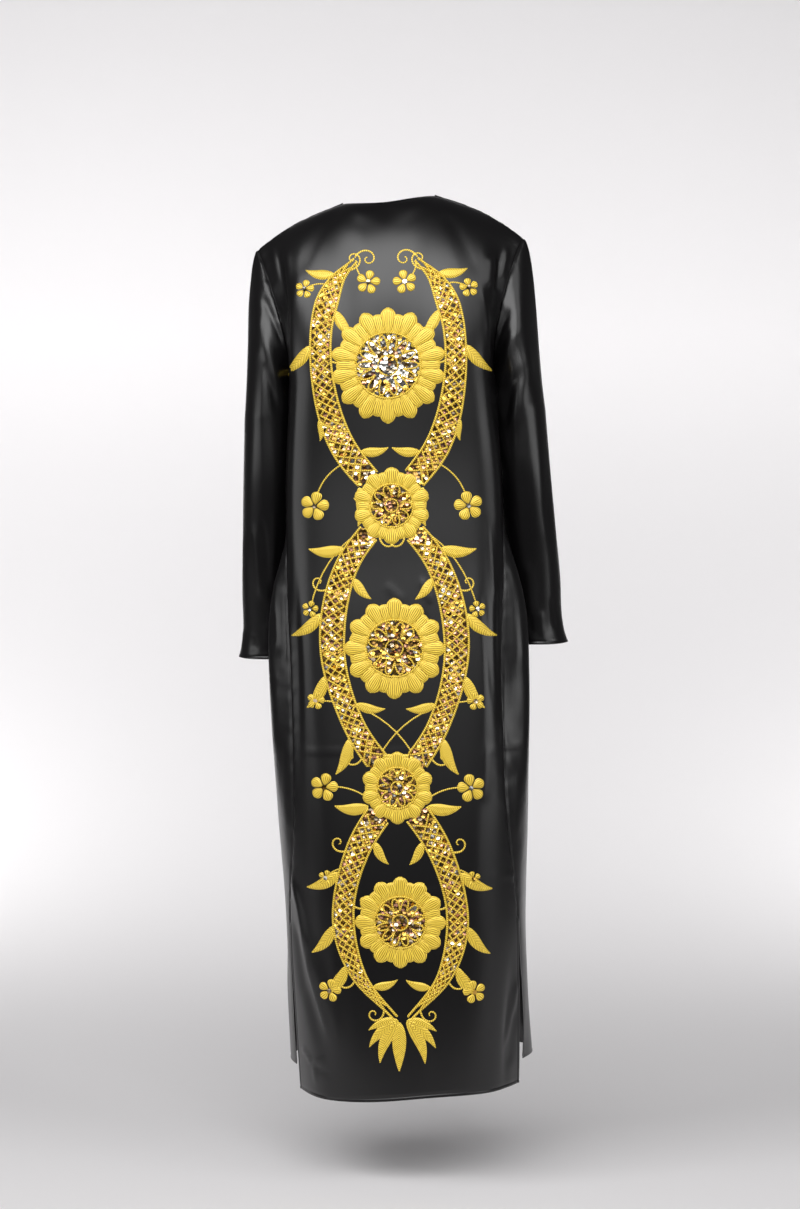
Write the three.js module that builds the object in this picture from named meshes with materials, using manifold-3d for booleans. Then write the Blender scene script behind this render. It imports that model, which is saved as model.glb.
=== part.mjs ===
// Duster coat: collarless, open in front, ankle-length, with long set-in sleeves and a slit in each side
// seam. Millimetres, +Z up. The coat faces -Y and the wearer's left is +X. It keeps the hollow shape that it
// has when worn. The origin is midway between the neck ends of the two shoulder seams, where the wearer's
// shoulders carry the coat.
import * as THREE from "three";
import { mergeVertices } from "three/addons/utils/BufferGeometryUtils.js";
import Module from "manifold-3d";

const wasm = await Module();
wasm.setup();

// ---------- Driving dimensions ----------
const WALL = 2.0; // cloth with its turned edges, drawn as one wall
const SEAM_GAP = 0.3; // between two pieces that are sewn together
const NECK = { half: 72, y: 14 }; // neck end of a shoulder seam
const BACK_NECK = { y: 54, drop: 10 }; // lowest point of the back neckline
const TIP = { x: 209, y: 2, z: -66 }; // outer end of a shoulder seam
const SHOULDER_CURVE = { straight: 0.64, power: 3 }; // the seam runs straight at first, then rolls down
const CHEST_Z = -278; // level of the underarm points
const SLIT_Z = -1120; // top of the side slits
const BACK_HEM_Z = -1386;
const FRONT_HEM_Z = -1350; // the fronts are cut this much shorter than the back
const LEAN = 0.0235; // the hem hangs towards the wearer's right by this share of the height
const TURN = (-4 * Math.PI) / 180; // the wearer's right side is turned towards the back
const TILT = { rise: 7, reach: 70 }; // the right side is held higher than the left
const SLIT_SPREAD = { x: 5, y: -14 }; // at the hem a front's slit edge stands this far from the back's
const CUFF = { sag: 8, rightLift: 5, frontY: -110, backY: -20 }; // its back sags, and the right one is drawn up

// Rows of numbers under named columns.
function table(columns, rows) {
  const names = columns.split(" ");
  return rows.map((row) => Object.fromEntries(row.map((value, i) => [names[i], value])));
}

// Numbers of mesh steps
const NECK_STEPS = 3;
const SHOULDER_STEPS = 11;
const ARMHOLE_STEPS = 10;
const SIDE_STEPS = 18;
const SLIT_STEPS = 6;
const CAP_STEPS = 7;
const SLEEVE_STEPS = 13;

// ---------- Body sections ----------
// One row for each level below the arms. The columns are places on the half ring, from the centre back round
// to the front edge: back (at x 0), shoulder blade, side seam, side, arm (where the sleeve hangs), front, edge.
const BODY = table("z back bladeX bladeY seamX seamY sideX sideY armX armY frontX frontY edgeX edgeY", [
  [-278, 108, 142, 92, 156, 12, 144, -28, 134, -62, 104, -98, 56, -112],
  [-420, 101, 150, 82, 166, 44, 141, 4, 129, -42, 104, -88, 50, -110],
  [-560, 105, 149, 88, 168, 60, 180, 40, 150, -16, 116, -84, 48, -112],
  [-640, 110, 144, 96, 167, 72, 198, 46, 163, -22, 126, -94, 47, -119],
  [-740, 115, 136, 103, 164, 80, 201, 42, 170, -38, 134, -108, 47, -128],
  [-950, 122, 122, 114, 164, 82, 194, 28, 178, -62, 132, -126, 50, -140],
  [-1120, 125, 122, 113, 176, 52, 187, 2, 176, -76, 128, -136, 52, -146],
  [-1250, 126, 120, 108, 174, 32, 188, -36, 178, -98, 124, -142, 54, -150],
  [-1386, 126, 118, 100, 170, 16, 191, -62, 178, -120, 122, -148, 56, -153],
]);

// ---------- Cloth over the shoulders ----------
// Bezier arms of the lines that run from the top edge down to the chest level. "at" is the place along the
// top edge, from 0 at the neck's middle or end to 1 at the shoulder's tip.
const BACK_DRAPE = [
  { at: 0, leave: [0, 40, -42], arrive: [0, 4, 105] },
  { at: 0.22, leave: [0, 76, -16], arrive: [0, 5, 100] },
  { at: 0.62, leave: [-2, 68, -24], arrive: [-2, 12, 92] },
  { at: 1, leave: [-18, 40, -44], arrive: [-1, 56, 60] },
];
const FRONT_DRAPE = [
  { at: 0, leave: [1, -52, 30], arrive: [4, 6, 112] },
  { at: 0.3, leave: [1, -54, 24], arrive: [2, 4, 108] },
  { at: 0.65, leave: [-1, -52, 8], arrive: [-1, -8, 98] },
  { at: 1, leave: [-16, -40, -44], arrive: [2, -80, 62] },
];

// ---------- Sleeves ----------
// One row for each level: outermost and innermost x, middle y, and half the depth from front to back.
const SLEEVE = [
  { z: -332, outer: 236, inner: 157, y: -7, half: 60 },
  { z: -430, outer: 242, inner: 158, y: -14, half: 56 },
  { z: -520, outer: 248, inner: 163, y: -30, half: 51 },
  { z: -600, outer: 252, inner: 167, y: -48, half: 48 },
  { z: -650, outer: 253, inner: 168, y: -58, half: 48 },
  { z: -680, outer: 257, inner: 169, y: -65, half: 50 },
  { z: -700, outer: 263, inner: 170, y: -70, half: 54 },
];
// Bezier arms of the sleeve head, from the armhole to the first sleeve section, a quarter turn apart.
const CAP_DRAPE = [
  { at: "shoulder tip", leave: [19, -1, -22], arrive: [-11, 2, 90] },
  { at: "back", leave: [26, 10, -26], arrive: [-8, 4, 62] },
  { at: "underarm", leave: [9, -2, -12], arrive: [3, 2, 18] },
  { at: "front", leave: [26, -10, -26], arrive: [-8, -4, 62] },
];

// ---------- Folds ----------
// Each is a soft ridge (depth over 0) or trough (under 0) along a straight line of the posed coat. At its
// width away from that line it has fallen to about a third of its depth.
const BODY_FOLDS = table("fromX fromY fromZ toX toY toZ width depth", [
  [176, 40, -92, 152, 66, -236, 14, -5],
  [142, 70, -96, 132, 88, -250, 16, 4],
  [-172, 40, -84, -150, 66, -190, 14, -6],
  [-146, 66, -78, -134, 88, -230, 16, 5],
  [-118, 96, -130, -126, 94, -330, 16, -3],
  [-156, 78, -510, -176, 90, -930, 14, -8],
  [-132, 104, -560, -150, 112, -900, 15, 3],
  [-188, 70, -580, -214, 60, -960, 16, 6],
  [148, 76, -500, 138, 92, -940, 13, -5],
  [158, 58, -1050, 84, 122, -1310, 16, 6],
  [140, 60, -1180, 96, 108, -1350, 14, -4],
  [-196, 20, -1190, -194, 20, -1380, 14, 6],
  [-182, 66, -1170, -176, 70, -1380, 13, -5],
  [84, -108, -330, 82, -140, -1350, 22, -7],
  [124, -112, -700, 122, -140, -1350, 20, 6],
  [56, -116, -520, 44, -150, -1350, 18, 4],
  [164, -20, -1130, 162, -66, -1350, 16, 4],
  [-104, -106, -330, -138, -140, -1350, 22, -6],
  [-156, -100, -700, -184, -128, -1350, 20, 7],
  [-74, -116, -480, -106, -150, -1350, 18, 4],
  [-214, -30, -1100, -224, -80, -1370, 34, -10],
]);
const SLEEVE_FOLDS = table("fromX fromY fromZ toX toY toZ width depth", [
  [206, 54, -150, 206, 52, -420, 15, 5],
  [184, 54, -220, 168, 48, -420, 14, -5],
  [224, 28, -450, 212, -6, -660, 14, -5],
  [192, 30, -500, 180, -16, -700, 14, 5],
  [230, -40, -300, 232, -62, -600, 16, -4],
  [-192, 56, -150, -212, 54, -380, 15, 6],
  [-172, 62, -200, -192, 50, -420, 14, -5],
  [-234, 30, -380, -238, 0, -640, 15, -5],
  [-252, -34, -460, -262, -56, -700, 16, 5],
]);

// ---------- Raised embroidery grounds on the back ----------
const GROUND = { lift: 0.4, thick: 1.2 }; // they lie this far off the back, and are this thick
const SCALLOP = { depth: 0.13, points: 5 }; // petal ends: depth as a share of the radius, points for each
const BLOSSOMS = [
  { z: -268, radius: 90, petals: 14 },
  { z: -482, radius: 60, petals: 10 },
  { z: -700, radius: 80, petals: 12 },
  { z: -912, radius: 56, petals: 10 },
  { z: -1116, radius: 72, petals: 12 },
];

// ---------- Finishes ----------
const SATIN = new THREE.MeshStandardMaterial({ name: "black_satin", color: "#1d1c1e", roughness: 0.42 });
const GOLD = new THREE.MeshStandardMaterial({
  name: "gold_thread",
  color: "#d9b23a",
  roughness: 0.38,
  metalness: 0.6,
});

// ---------- Small helpers ----------
const vector = (a) => new THREE.Vector3(a[0], a[1], a[2]);
const lerp = (a, b, t) => a + (b - a) * t;
const smooth = (t) => t * t * (3 - 2 * t);
const clamp01 = (t) => Math.min(1, Math.max(0, t));
const steps = (count) => Array.from({ length: count + 1 }, (unused, i) => i / count);

// Smooth value of one column of a table, whose rows are sorted by the number under key.
function columnAt(rows, key, place, read) {
  const last = rows.length - 1;
  const way = Math.sign(rows[last][key] - rows[0][key]);
  let i = 1;
  while (i < last && (place - rows[i][key]) * way > 0) i++;
  const slope = (k) => {
    const a = rows[Math.max(k - 1, 0)];
    const b = rows[Math.min(k + 1, last)];
    return (read(b) - read(a)) / (b[key] - a[key]);
  };
  const from = rows[i - 1];
  const to = rows[i];
  const span = to[key] - from[key];
  const t = (place - from[key]) / span;
  const rise = read(to) - read(from);
  const startBend = slope(i - 1) * span - rise;
  const endBend = slope(i) * span - rise;
  return read(from) + rise * t + t * (1 - t) * (startBend * (1 - t) - endBend * t);
}

// Points at even distances along a curve, between two of its parameters.
const FINE_STEPS = 80;
function evenly(curve, from, to, count) {
  const fine = steps(FINE_STEPS).map((t) => curve.getPoint(lerp(from, to, t)));
  const run = [0];
  for (let i = 1; i <= FINE_STEPS; i++) run.push(run[i - 1] + fine[i].distanceTo(fine[i - 1]));
  let i = 0;
  return steps(count).map((share) => {
    const at = run[FINE_STEPS] * share;
    while (i < FINE_STEPS - 1 && run[i + 1] < at) i++;
    return fine[i].clone().lerp(fine[i + 1], clamp01((at - run[i]) / (run[i + 1] - run[i])));
  });
}

// Points down a hanging line that leaves its start and reaches its end along the given arms.
function hang(start, leave, arrive, end, count) {
  const curve = new THREE.CubicBezierCurve3(start, start.clone().add(leave), end.clone().add(arrive), end);
  return evenly(curve, 0, 1, count);
}

const mirror = (p) => new THREE.Vector3(-p.x, p.y, p.z);

// The worn coat is turned a little about the neck, leans to one side and is higher at the right shoulder.
function pose(p) {
  const turned = p.clone().applyAxisAngle(new THREE.Vector3(0, 0, 1), TURN);
  turned.x += LEAN * p.z;
  turned.z -= TILT.rise * Math.tanh(p.x / TILT.reach);
  return turned;
}

// ---------- Left half of the body, before it is mirrored ----------
const BACK_STEPS = NECK_STEPS + SHOULDER_STEPS;

// The half ring at one level: the back's points from its centre to the seam, then the front's to its edge.
function ringAt(z) {
  const at = (name) => {
    const x = columnAt(BODY, "z", z, (row) => row[`${name}X`]);
    const y = columnAt(BODY, "z", z, (row) => row[`${name}Y`]);
    return new THREE.Vector3(x, y, z);
  };
  const centre = new THREE.Vector3(0, columnAt(BODY, "z", z, (row) => row.back), z);
  const places = [at("blade"), at("seam"), at("side"), at("arm"), at("front"), at("edge")];
  const curve = new THREE.CatmullRomCurve3([mirror(places[0]), centre, ...places], false, "centripetal");
  return { back: evenly(curve, 1 / 7, 3 / 7, BACK_STEPS), front: evenly(curve, 3 / 7, 1, SHOULDER_STEPS) };
}

// Top edge from the middle of the back neck to the shoulder's tip.
const shoulderPoint = (t) => {
  const fall = SHOULDER_CURVE.straight * t + (1 - SHOULDER_CURVE.straight) * t ** SHOULDER_CURVE.power;
  return new THREE.Vector3(lerp(NECK.half, TIP.x, t), lerp(NECK.y, TIP.y, t), TIP.z * fall);
};
const backNeckPoint = (t) => {
  const y = lerp(BACK_NECK.y, NECK.y, t ** 3);
  return new THREE.Vector3(NECK.half * t, y, -BACK_NECK.drop * (1 - t * t));
};
const shoulder = steps(SHOULDER_STEPS).map(shoulderPoint);
const backNeck = steps(NECK_STEPS).map(backNeckPoint);
const backTop = [...backNeck.slice(0, -1), ...shoulder];

// Bezier arms at one place along the top edge.
function drapeArms(table, share) {
  const read = (name) => vector([0, 1, 2].map((i) => columnAt(table, "at", share, (row) => row[name][i])));
  return { leave: read("leave"), arrive: read("arrive") };
}

// Rows of points from the top edge to the chest level.
function upper(top, bottom, table, shareOf) {
  const lines = top.map((start, c) => {
    const arms = drapeArms(table, shareOf(c));
    return hang(start, arms.leave, arms.arrive, bottom[c], ARMHOLE_STEPS);
  });
  return steps(ARMHOLE_STEPS).map((unused, r) => lines.map((line) => line[r]));
}

const chest = ringAt(CHEST_Z);
const frontBottom = [...chest.front].reverse(); // from the front edge to the seam, as the shoulder runs
const backUpper = upper(backTop, chest.back, BACK_DRAPE, (c) => c / BACK_STEPS);
const frontUpper = upper(shoulder, frontBottom, FRONT_DRAPE, (c) => c / SHOULDER_STEPS);

// Levels below the chest, down to a hem.
const levelsTo = (hem) => [
  ...steps(SIDE_STEPS).slice(1).map((t) => lerp(CHEST_Z, SLIT_Z, t)),
  ...steps(SLIT_STEPS).slice(1).map((t) => lerp(SLIT_Z, hem, t)),
];
const backHalf = [...backUpper, ...levelsTo(BACK_HEM_Z).map((z) => ringAt(z).back)];
const frontHalf = [
  ...frontUpper.map((row) => [...row].reverse()),
  ...levelsTo(FRONT_HEM_Z).map((z) => spreadSlit(ringAt(z).front, z)),
];

// Below the slit's top a front's slit edge stands away from the back's.
function spreadSlit(row, z) {
  const open = smooth(clamp01((SLIT_Z - z) / (SLIT_Z - FRONT_HEM_Z)));
  return row.map((p, c) => {
    const share = open * (1 - c / SHOULDER_STEPS) ** 2;
    return new THREE.Vector3(p.x + SLIT_SPREAD.x * share, p.y + SLIT_SPREAD.y * share, z);
  });
}

// ---------- Left sleeve, before it is mirrored ----------
const armhole = [
  ...backHalf.slice(0, ARMHOLE_STEPS + 1).map((row) => row[BACK_STEPS]),
  ...frontHalf.slice(1, ARMHOLE_STEPS).map((row) => row[0]).reverse(),
];

function sleeveRing(z) {
  const read = (name) => columnAt(SLEEVE, "z", z, (row) => row[name]);
  const middle = (read("outer") + read("inner")) / 2;
  const reach = (read("outer") - read("inner")) / 2;
  return armhole.map((unused, k) => {
    const turn = (2 * Math.PI * k) / armhole.length;
    return new THREE.Vector3(middle + reach * Math.cos(turn), read("y") + read("half") * Math.sin(turn), z);
  });
}

const SLEEVE_TOP_Z = SLEEVE[0].z;
const CUFF_Z = SLEEVE[SLEEVE.length - 1].z;
const capLines = sleeveRing(SLEEVE_TOP_Z).map((end, k) => {
  const quarter = (4 * k) / armhole.length;
  const from = CAP_DRAPE[Math.floor(quarter)];
  const to = CAP_DRAPE[(Math.floor(quarter) + 1) % 4];
  const blend = smooth(quarter % 1);
  const leave = vector(from.leave).lerp(vector(to.leave), blend);
  const arrive = vector(from.arrive).lerp(vector(to.arrive), blend);
  return hang(armhole[k], leave, arrive, end, CAP_STEPS);
});
const cap = steps(CAP_STEPS).map((unused, r) => capLines.map((line) => line[r]));
const tube = steps(SLEEVE_STEPS).slice(1).map((t) => sleeveRing(lerp(SLEEVE_TOP_Z, CUFF_Z, t)));
const sleeveHalf = [...cap, ...tube];

// Towards the cuff the sleeve's back sags, and the right sleeve is drawn up.
function hangCuff(p, side) {
  const share = smooth(clamp01((SLEEVE_TOP_Z - p.z) / (SLEEVE_TOP_Z - CUFF_Z)));
  const behind = clamp01((p.y - CUFF.frontY) / (CUFF.backY - CUFF.frontY));
  const lift = side < 0 ? CUFF.rightLift : -CUFF.rightLift;
  return new THREE.Vector3(p.x, p.y, p.z + share * (lift - CUFF.sag * behind));
}

// ---------- Grids of the five panels ----------
// Rows run down. Columns run round the body from the right front edge to the left one, and round the sleeves
// the same way.
const reversed = (row) => [...row].reverse();
const posed = (grid) => grid.map((row) => row.map(pose));
const GRIDS = {
  back: posed(backHalf.map((row) => [...reversed(row.slice(1)).map(mirror), ...row])),
  front_left: posed(frontHalf),
  front_right: posed(frontHalf.map((row) => reversed(row.map(mirror)))),
  sleeve_left: posed(sleeveHalf.map((row) => reversed(row.map((p) => hangCuff(p, 1))))),
  sleeve_right: posed(sleeveHalf.map((row) => row.map((p) => hangCuff(mirror(p), -1)))),
};
const isSleeve = (name) => name.startsWith("sleeve");

// Outward direction at each point, before the points that two panels share are averaged.
function gridNormals(grid, closed) {
  const rows = grid.length;
  const cols = grid[0].length;
  return grid.map((row, r) => row.map((p, c) => {
    const up = grid[Math.max(r - 1, 0)][c];
    const down = grid[Math.min(r + 1, rows - 1)][c];
    const before = closed ? row[(c + cols - 1) % cols] : row[Math.max(c - 1, 0)];
    const after = closed ? row[(c + 1) % cols] : row[Math.min(c + 1, cols - 1)];
    return after.clone().sub(before).cross(down.clone().sub(up)).normalize();
  }));
}

// Panels that share a point share its outward direction, so that their walls meet face to face at the seam.
const spot = (p) => p.toArray().map((v) => v.toFixed(2)).join(" ");
const shared = new Map();
const NORMALS = {};
for (const [name, grid] of Object.entries(GRIDS)) {
  NORMALS[name] = gridNormals(grid, isSleeve(name));
  grid.forEach((row, r) => row.forEach((p, c) => {
    const sum = shared.get(spot(p)) ?? new THREE.Vector3();
    shared.set(spot(p), sum.add(NORMALS[name][r][c]));
  }));
}
for (const [name, grid] of Object.entries(GRIDS)) {
  NORMALS[name] = grid.map((row) => row.map((p) => shared.get(spot(p)).clone().normalize()));
}

// ---------- Folds and seams ----------
// How far the folds push one point out. Each fold fades towards both of its ends.
const FADE = { steepness: 1.4, atEnd: 0.2 };
const fade = (share) => smooth(clamp01(FADE.steepness * share + FADE.atEnd));
function foldAt(p, folds) {
  let depth = 0;
  for (const fold of folds) {
    const start = new THREE.Vector3(fold.fromX, fold.fromY, fold.fromZ);
    const line = new THREE.Vector3(fold.toX, fold.toY, fold.toZ).sub(start);
    const share = p.clone().sub(start).dot(line) / line.lengthSq();
    const nearest = start.addScaledVector(line, clamp01(share));
    const past = p.distanceTo(nearest) / fold.width;
    depth += fold.depth * Math.exp(-past * past) * fade(share) * fade(1 - share);
  }
  return depth;
}

// Folds die out in the two steps before an armhole, so that the sleeve and the body still meet there.
const ARMHOLE_ENDS = { back: ["first", "last"], front_left: ["first"], front_right: ["last"] };
function foldShare(name, r, c, cols) {
  if (isSleeve(name)) return clamp01(r / 2);
  if (r > ARMHOLE_STEPS) return 1;
  const away = ARMHOLE_ENDS[name].map((end) => (end === "first" ? c : cols - 1 - c));
  return clamp01(Math.min(...away) / 2);
}

for (const [name, grid] of Object.entries(GRIDS)) {
  const folds = isSleeve(name) ? SLEEVE_FOLDS : BODY_FOLDS;
  GRIDS[name] = grid.map((row, r) => row.map((p, c) => {
    const depth = foldAt(p, folds) * foldShare(name, r, c, row.length);
    return p.clone().addScaledVector(NORMALS[name][r][c], depth);
  }));
}

// Draws one sewn edge back into its own panel by half the seam's gap. The edge is a list of [row, column].
function tuckedBack(name, edge, stepIn) {
  const grid = GRIDS[name];
  const ring = isSleeve(name);
  return edge.map(([r, c], i) => {
    const before = edge[ring ? (i + edge.length - 1) % edge.length : Math.max(i - 1, 0)];
    const after = edge[ring ? (i + 1) % edge.length : Math.min(i + 1, edge.length - 1)];
    const along = grid[after[0]][after[1]].clone().sub(grid[before[0]][before[1]]);
    const inner = grid[r + stepIn[0]][c + stepIn[1]].clone().sub(grid[r][c]);
    const side = along.cross(NORMALS[name][r][c]).normalize();
    return { name, r, c, move: side.multiplyScalar((Math.sign(side.dot(inner)) * SEAM_GAP) / 2) };
  });
}

// The sewn edges of each panel, and the step from each into the panel.
const range = (from, to) => Array.from({ length: to - from + 1 }, (unused, i) => from + i);
const ARMHOLE_ROWS = range(0, ARMHOLE_STEPS);
const SIDE_ROWS = range(ARMHOLE_STEPS, ARMHOLE_STEPS + SIDE_STEPS);
const BACK_LAST = 2 * BACK_STEPS;
const RING = range(0, armhole.length - 1);
const column = (rows, c) => rows.map((r) => [r, c]);
const topRow = (columns) => columns.map((c) => [0, c]);
const SEWN_EDGES = [
  ["back", topRow(range(0, SHOULDER_STEPS)), [1, 0]],
  ["back", topRow(range(BACK_LAST - SHOULDER_STEPS, BACK_LAST)), [1, 0]],
  ["front_left", topRow(range(0, SHOULDER_STEPS)), [1, 0]],
  ["front_right", topRow(range(0, SHOULDER_STEPS)), [1, 0]],
  ["sleeve_left", topRow(RING), [1, 0]],
  ["sleeve_right", topRow(RING), [1, 0]],
];
for (const rows of [ARMHOLE_ROWS, SIDE_ROWS]) {
  SEWN_EDGES.push(["back", column(rows, 0), [0, 1]]);
  SEWN_EDGES.push(["back", column(rows, BACK_LAST), [0, -1]]);
  SEWN_EDGES.push(["front_left", column(rows, 0), [0, 1]]);
  SEWN_EDGES.push(["front_right", column(rows, SHOULDER_STEPS), [0, -1]]);
}
const TUCKS = SEWN_EDGES.flatMap(([name, edge, stepIn]) => tuckedBack(name, edge, stepIn));
for (const { name, r, c, move } of TUCKS) GRIDS[name][r][c].add(move);

// ---------- Solids ----------
// A wall whose outer face is a grid of points and whose inner face lies one thickness behind it.
function wallGeometry(outer, normals, thickness, closed) {
  const rows = outer.length;
  const cols = outer[0].length;
  const inner = outer.map((row, r) => row.map((p, c) => {
    return p.clone().addScaledVector(normals[r][c], -thickness);
  }));
  const positions = [...outer.flat(), ...inner.flat()].flatMap((p) => p.toArray());
  const out = (r, c) => r * cols + (c % cols);
  const back = (r, c) => rows * cols + out(r, c);
  const faces = [];
  const quad = (a, b, c, d, crossed) => {
    if (crossed) faces.push(a, b, d, a, d, c);
    else faces.push(a, b, c, c, b, d);
  };
  const wraps = closed ? cols : cols - 1;
  for (let r = 0; r < rows - 1; r++) {
    for (let c = 0; c < wraps; c++) {
      quad(out(r, c), out(r, c + 1), out(r + 1, c), out(r + 1, c + 1));
      quad(back(r, c), back(r + 1, c), back(r, c + 1), back(r + 1, c + 1));
    }
  }
  for (let c = 0; c < wraps; c++) {
    // Two walls that meet at a seam split its twisted end faces alike: from the higher point's inner corner.
    const rising = outer[0][(c + 1) % cols].z > outer[0][c].z;
    quad(out(0, c), back(0, c), out(0, c + 1), back(0, c + 1), rising);
    quad(out(rows - 1, c), out(rows - 1, c + 1), back(rows - 1, c), back(rows - 1, c + 1));
  }
  for (let r = 0; r < rows - 1 && !closed; r++) {
    quad(out(r, 0), out(r + 1, 0), back(r, 0), back(r + 1, 0));
    quad(out(r, cols - 1), back(r, cols - 1), out(r + 1, cols - 1), back(r + 1, cols - 1));
  }
  const geometry = new THREE.BufferGeometry();
  geometry.setAttribute("position", new THREE.Float32BufferAttribute(positions, 3));
  geometry.setIndex(faces);
  geometry.computeVertexNormals();
  return geometry;
}

function toManifold(geometry) {
  const plain = geometry.clone();
  plain.deleteAttribute("normal");
  plain.deleteAttribute("uv");
  const merged = mergeVertices(plain, 1e-4);
  const vertProperties = Float32Array.from(merged.attributes.position.array);
  const triVerts = Uint32Array.from(merged.index.array);
  return new wasm.Manifold(new wasm.Mesh({ numProp: 3, vertProperties, triVerts }));
}

function fromManifold(solid) {
  const mesh = solid.getMesh();
  const geometry = new THREE.BufferGeometry();
  geometry.setAttribute("position", new THREE.Float32BufferAttribute(mesh.vertProperties, 3));
  geometry.setIndex([...mesh.triVerts]);
  geometry.computeVertexNormals();
  return geometry;
}

// A flower's outline seen from behind, with a round scallop for each petal, on the back's centre line.
function blossomShape(blossom) {
  const centre = pose(ringAt(blossom.z).back[0]);
  const count = blossom.petals * SCALLOP.points;
  const corners = steps(count).slice(0, -1).map((share) => {
    const bulge = Math.abs(Math.sin(Math.PI * share * blossom.petals));
    const radius = blossom.radius * (1 - SCALLOP.depth * (1 - bulge));
    const turn = 2 * Math.PI * share;
    return new THREE.Vector2(centre.x + radius * Math.cos(turn), centre.z + radius * Math.sin(turn));
  });
  return new THREE.Shape(corners);
}

// A raised ground: the layer just off the back's outer face, cut by a prism that runs from front to back.
const PRISM = { start: 40, end: 220 };
const raisedGrid = GRIDS.back.map((row, r) => row.map((p, c) => {
  return p.clone().addScaledVector(NORMALS.back[r][c], GROUND.lift + GROUND.thick);
}));
const layer = toManifold(wallGeometry(raisedGrid, NORMALS.back, GROUND.thick, false));
function blossomGeometry(blossom) {
  const prism = new THREE.ExtrudeGeometry(blossomShape(blossom), {
    depth: PRISM.end - PRISM.start,
    bevelEnabled: false,
  });
  prism.rotateX(Math.PI / 2);
  prism.translate(0, PRISM.end, 0);
  return fromManifold(layer.intersect(toManifold(prism)));
}

// ---------- Assembly ----------
const group = new THREE.Group();
function add(name, geometry, material) {
  const mesh = new THREE.Mesh(geometry, material.clone());
  mesh.name = name;
  group.add(mesh);
}
for (const [name, grid] of Object.entries(GRIDS)) {
  add(name, wallGeometry(grid, NORMALS[name], WALL, isSleeve(name)), SATIN);
}
BLOSSOMS.forEach((blossom, i) => add(`blossom_${i + 1}`, blossomGeometry(blossom), GOLD));

export default group;
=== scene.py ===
# %% [markdown]
# # Duster coat in black satin with gold embroidery
# An ankle-length coat, collarless and open in front, shown as it hangs when it is worn. Each cut panel is its
# own sheet of satin, and the gold work on the back is raised thread and real sequins. This first step loads the
# solid model that fixes every size. Blender only adds the finish and never resizes it.

# %% Load the frame
import math
import random

import bpy
import numpy as np
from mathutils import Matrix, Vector
from mathutils.bvhtree import BVHTree


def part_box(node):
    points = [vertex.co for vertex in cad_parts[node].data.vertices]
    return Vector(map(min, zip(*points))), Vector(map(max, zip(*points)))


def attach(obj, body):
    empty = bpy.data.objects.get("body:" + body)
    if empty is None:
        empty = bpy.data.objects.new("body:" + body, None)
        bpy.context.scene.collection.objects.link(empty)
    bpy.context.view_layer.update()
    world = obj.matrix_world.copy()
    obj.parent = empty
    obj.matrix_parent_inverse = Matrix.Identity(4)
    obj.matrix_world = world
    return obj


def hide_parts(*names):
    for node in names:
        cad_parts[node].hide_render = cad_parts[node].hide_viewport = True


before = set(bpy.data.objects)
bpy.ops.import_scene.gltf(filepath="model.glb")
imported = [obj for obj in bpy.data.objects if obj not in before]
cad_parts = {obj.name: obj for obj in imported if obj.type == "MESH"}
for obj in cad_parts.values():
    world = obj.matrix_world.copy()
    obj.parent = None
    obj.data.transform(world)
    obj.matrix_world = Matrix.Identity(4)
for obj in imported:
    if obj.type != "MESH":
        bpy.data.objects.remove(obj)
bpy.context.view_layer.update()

MM = 0.001  # the tables are in millimetres, and Blender works in metres

# %% [markdown]
# ## How the panels get their shape
# A worn coat is one smooth surface cut into panels. It could be sculpted, or draped with a cloth simulation
# from the flat panels, but then it would never fit the solid model exactly. So the same few body sections that
# shape the solid panels are used again here, with many more points between them, and the fine creases are added
# afterwards.

# %% Sizes of the coat, in millimetres
WALL = 1.3  # satin with its turned edges
NECK_HALF, NECK_Y = 72, 14
BACK_NECK_Y, BACK_NECK_DROP = 54, 10
TIP = (209, 2, -66)
SHOULDER_STRAIGHT, SHOULDER_POWER = 0.64, 3
CHEST_Z, SLIT_Z, BACK_HEM_Z, FRONT_HEM_Z = -278, -1120, -1386, -1350
LEAN = 0.0235
TURN = math.radians(-4)
TILT_RISE, TILT_REACH = 7, 70
SLIT_SPREAD = (5, -14)
CUFF_SAG, CUFF_LIFT, CUFF_FRONT_Y, CUFF_BACK_Y = 8, 5, -110, -20
NECK_UNITS, SHOULDER_UNITS, ARMHOLE_UNITS = 3, 11, 10
SIDE_UNITS, SLIT_UNITS, CAP_UNITS, SLEEVE_UNITS = 18, 6, 7, 13
BACK_UNITS = NECK_UNITS + SHOULDER_UNITS

# level, back, then x and y of blade, side seam, side, arm, front and front edge
BODY = np.array([
    [-278, 108, 142, 92, 156, 12, 144, -28, 134, -62, 104, -98, 56, -112],
    [-420, 101, 150, 82, 166, 44, 141, 4, 129, -42, 104, -88, 50, -110],
    [-560, 105, 149, 88, 168, 60, 180, 40, 150, -16, 116, -84, 48, -112],
    [-640, 110, 144, 96, 167, 72, 198, 46, 163, -22, 126, -94, 47, -119],
    [-740, 115, 136, 103, 164, 80, 201, 42, 170, -38, 134, -108, 47, -128],
    [-950, 122, 122, 114, 164, 82, 194, 28, 178, -62, 132, -126, 50, -140],
    [-1120, 125, 122, 113, 176, 52, 187, 2, 176, -76, 128, -136, 52, -146],
    [-1250, 126, 120, 108, 174, 32, 188, -36, 178, -98, 124, -142, 54, -150],
    [-1386, 126, 118, 100, 170, 16, 191, -62, 178, -120, 122, -148, 56, -153],
], float)
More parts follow.
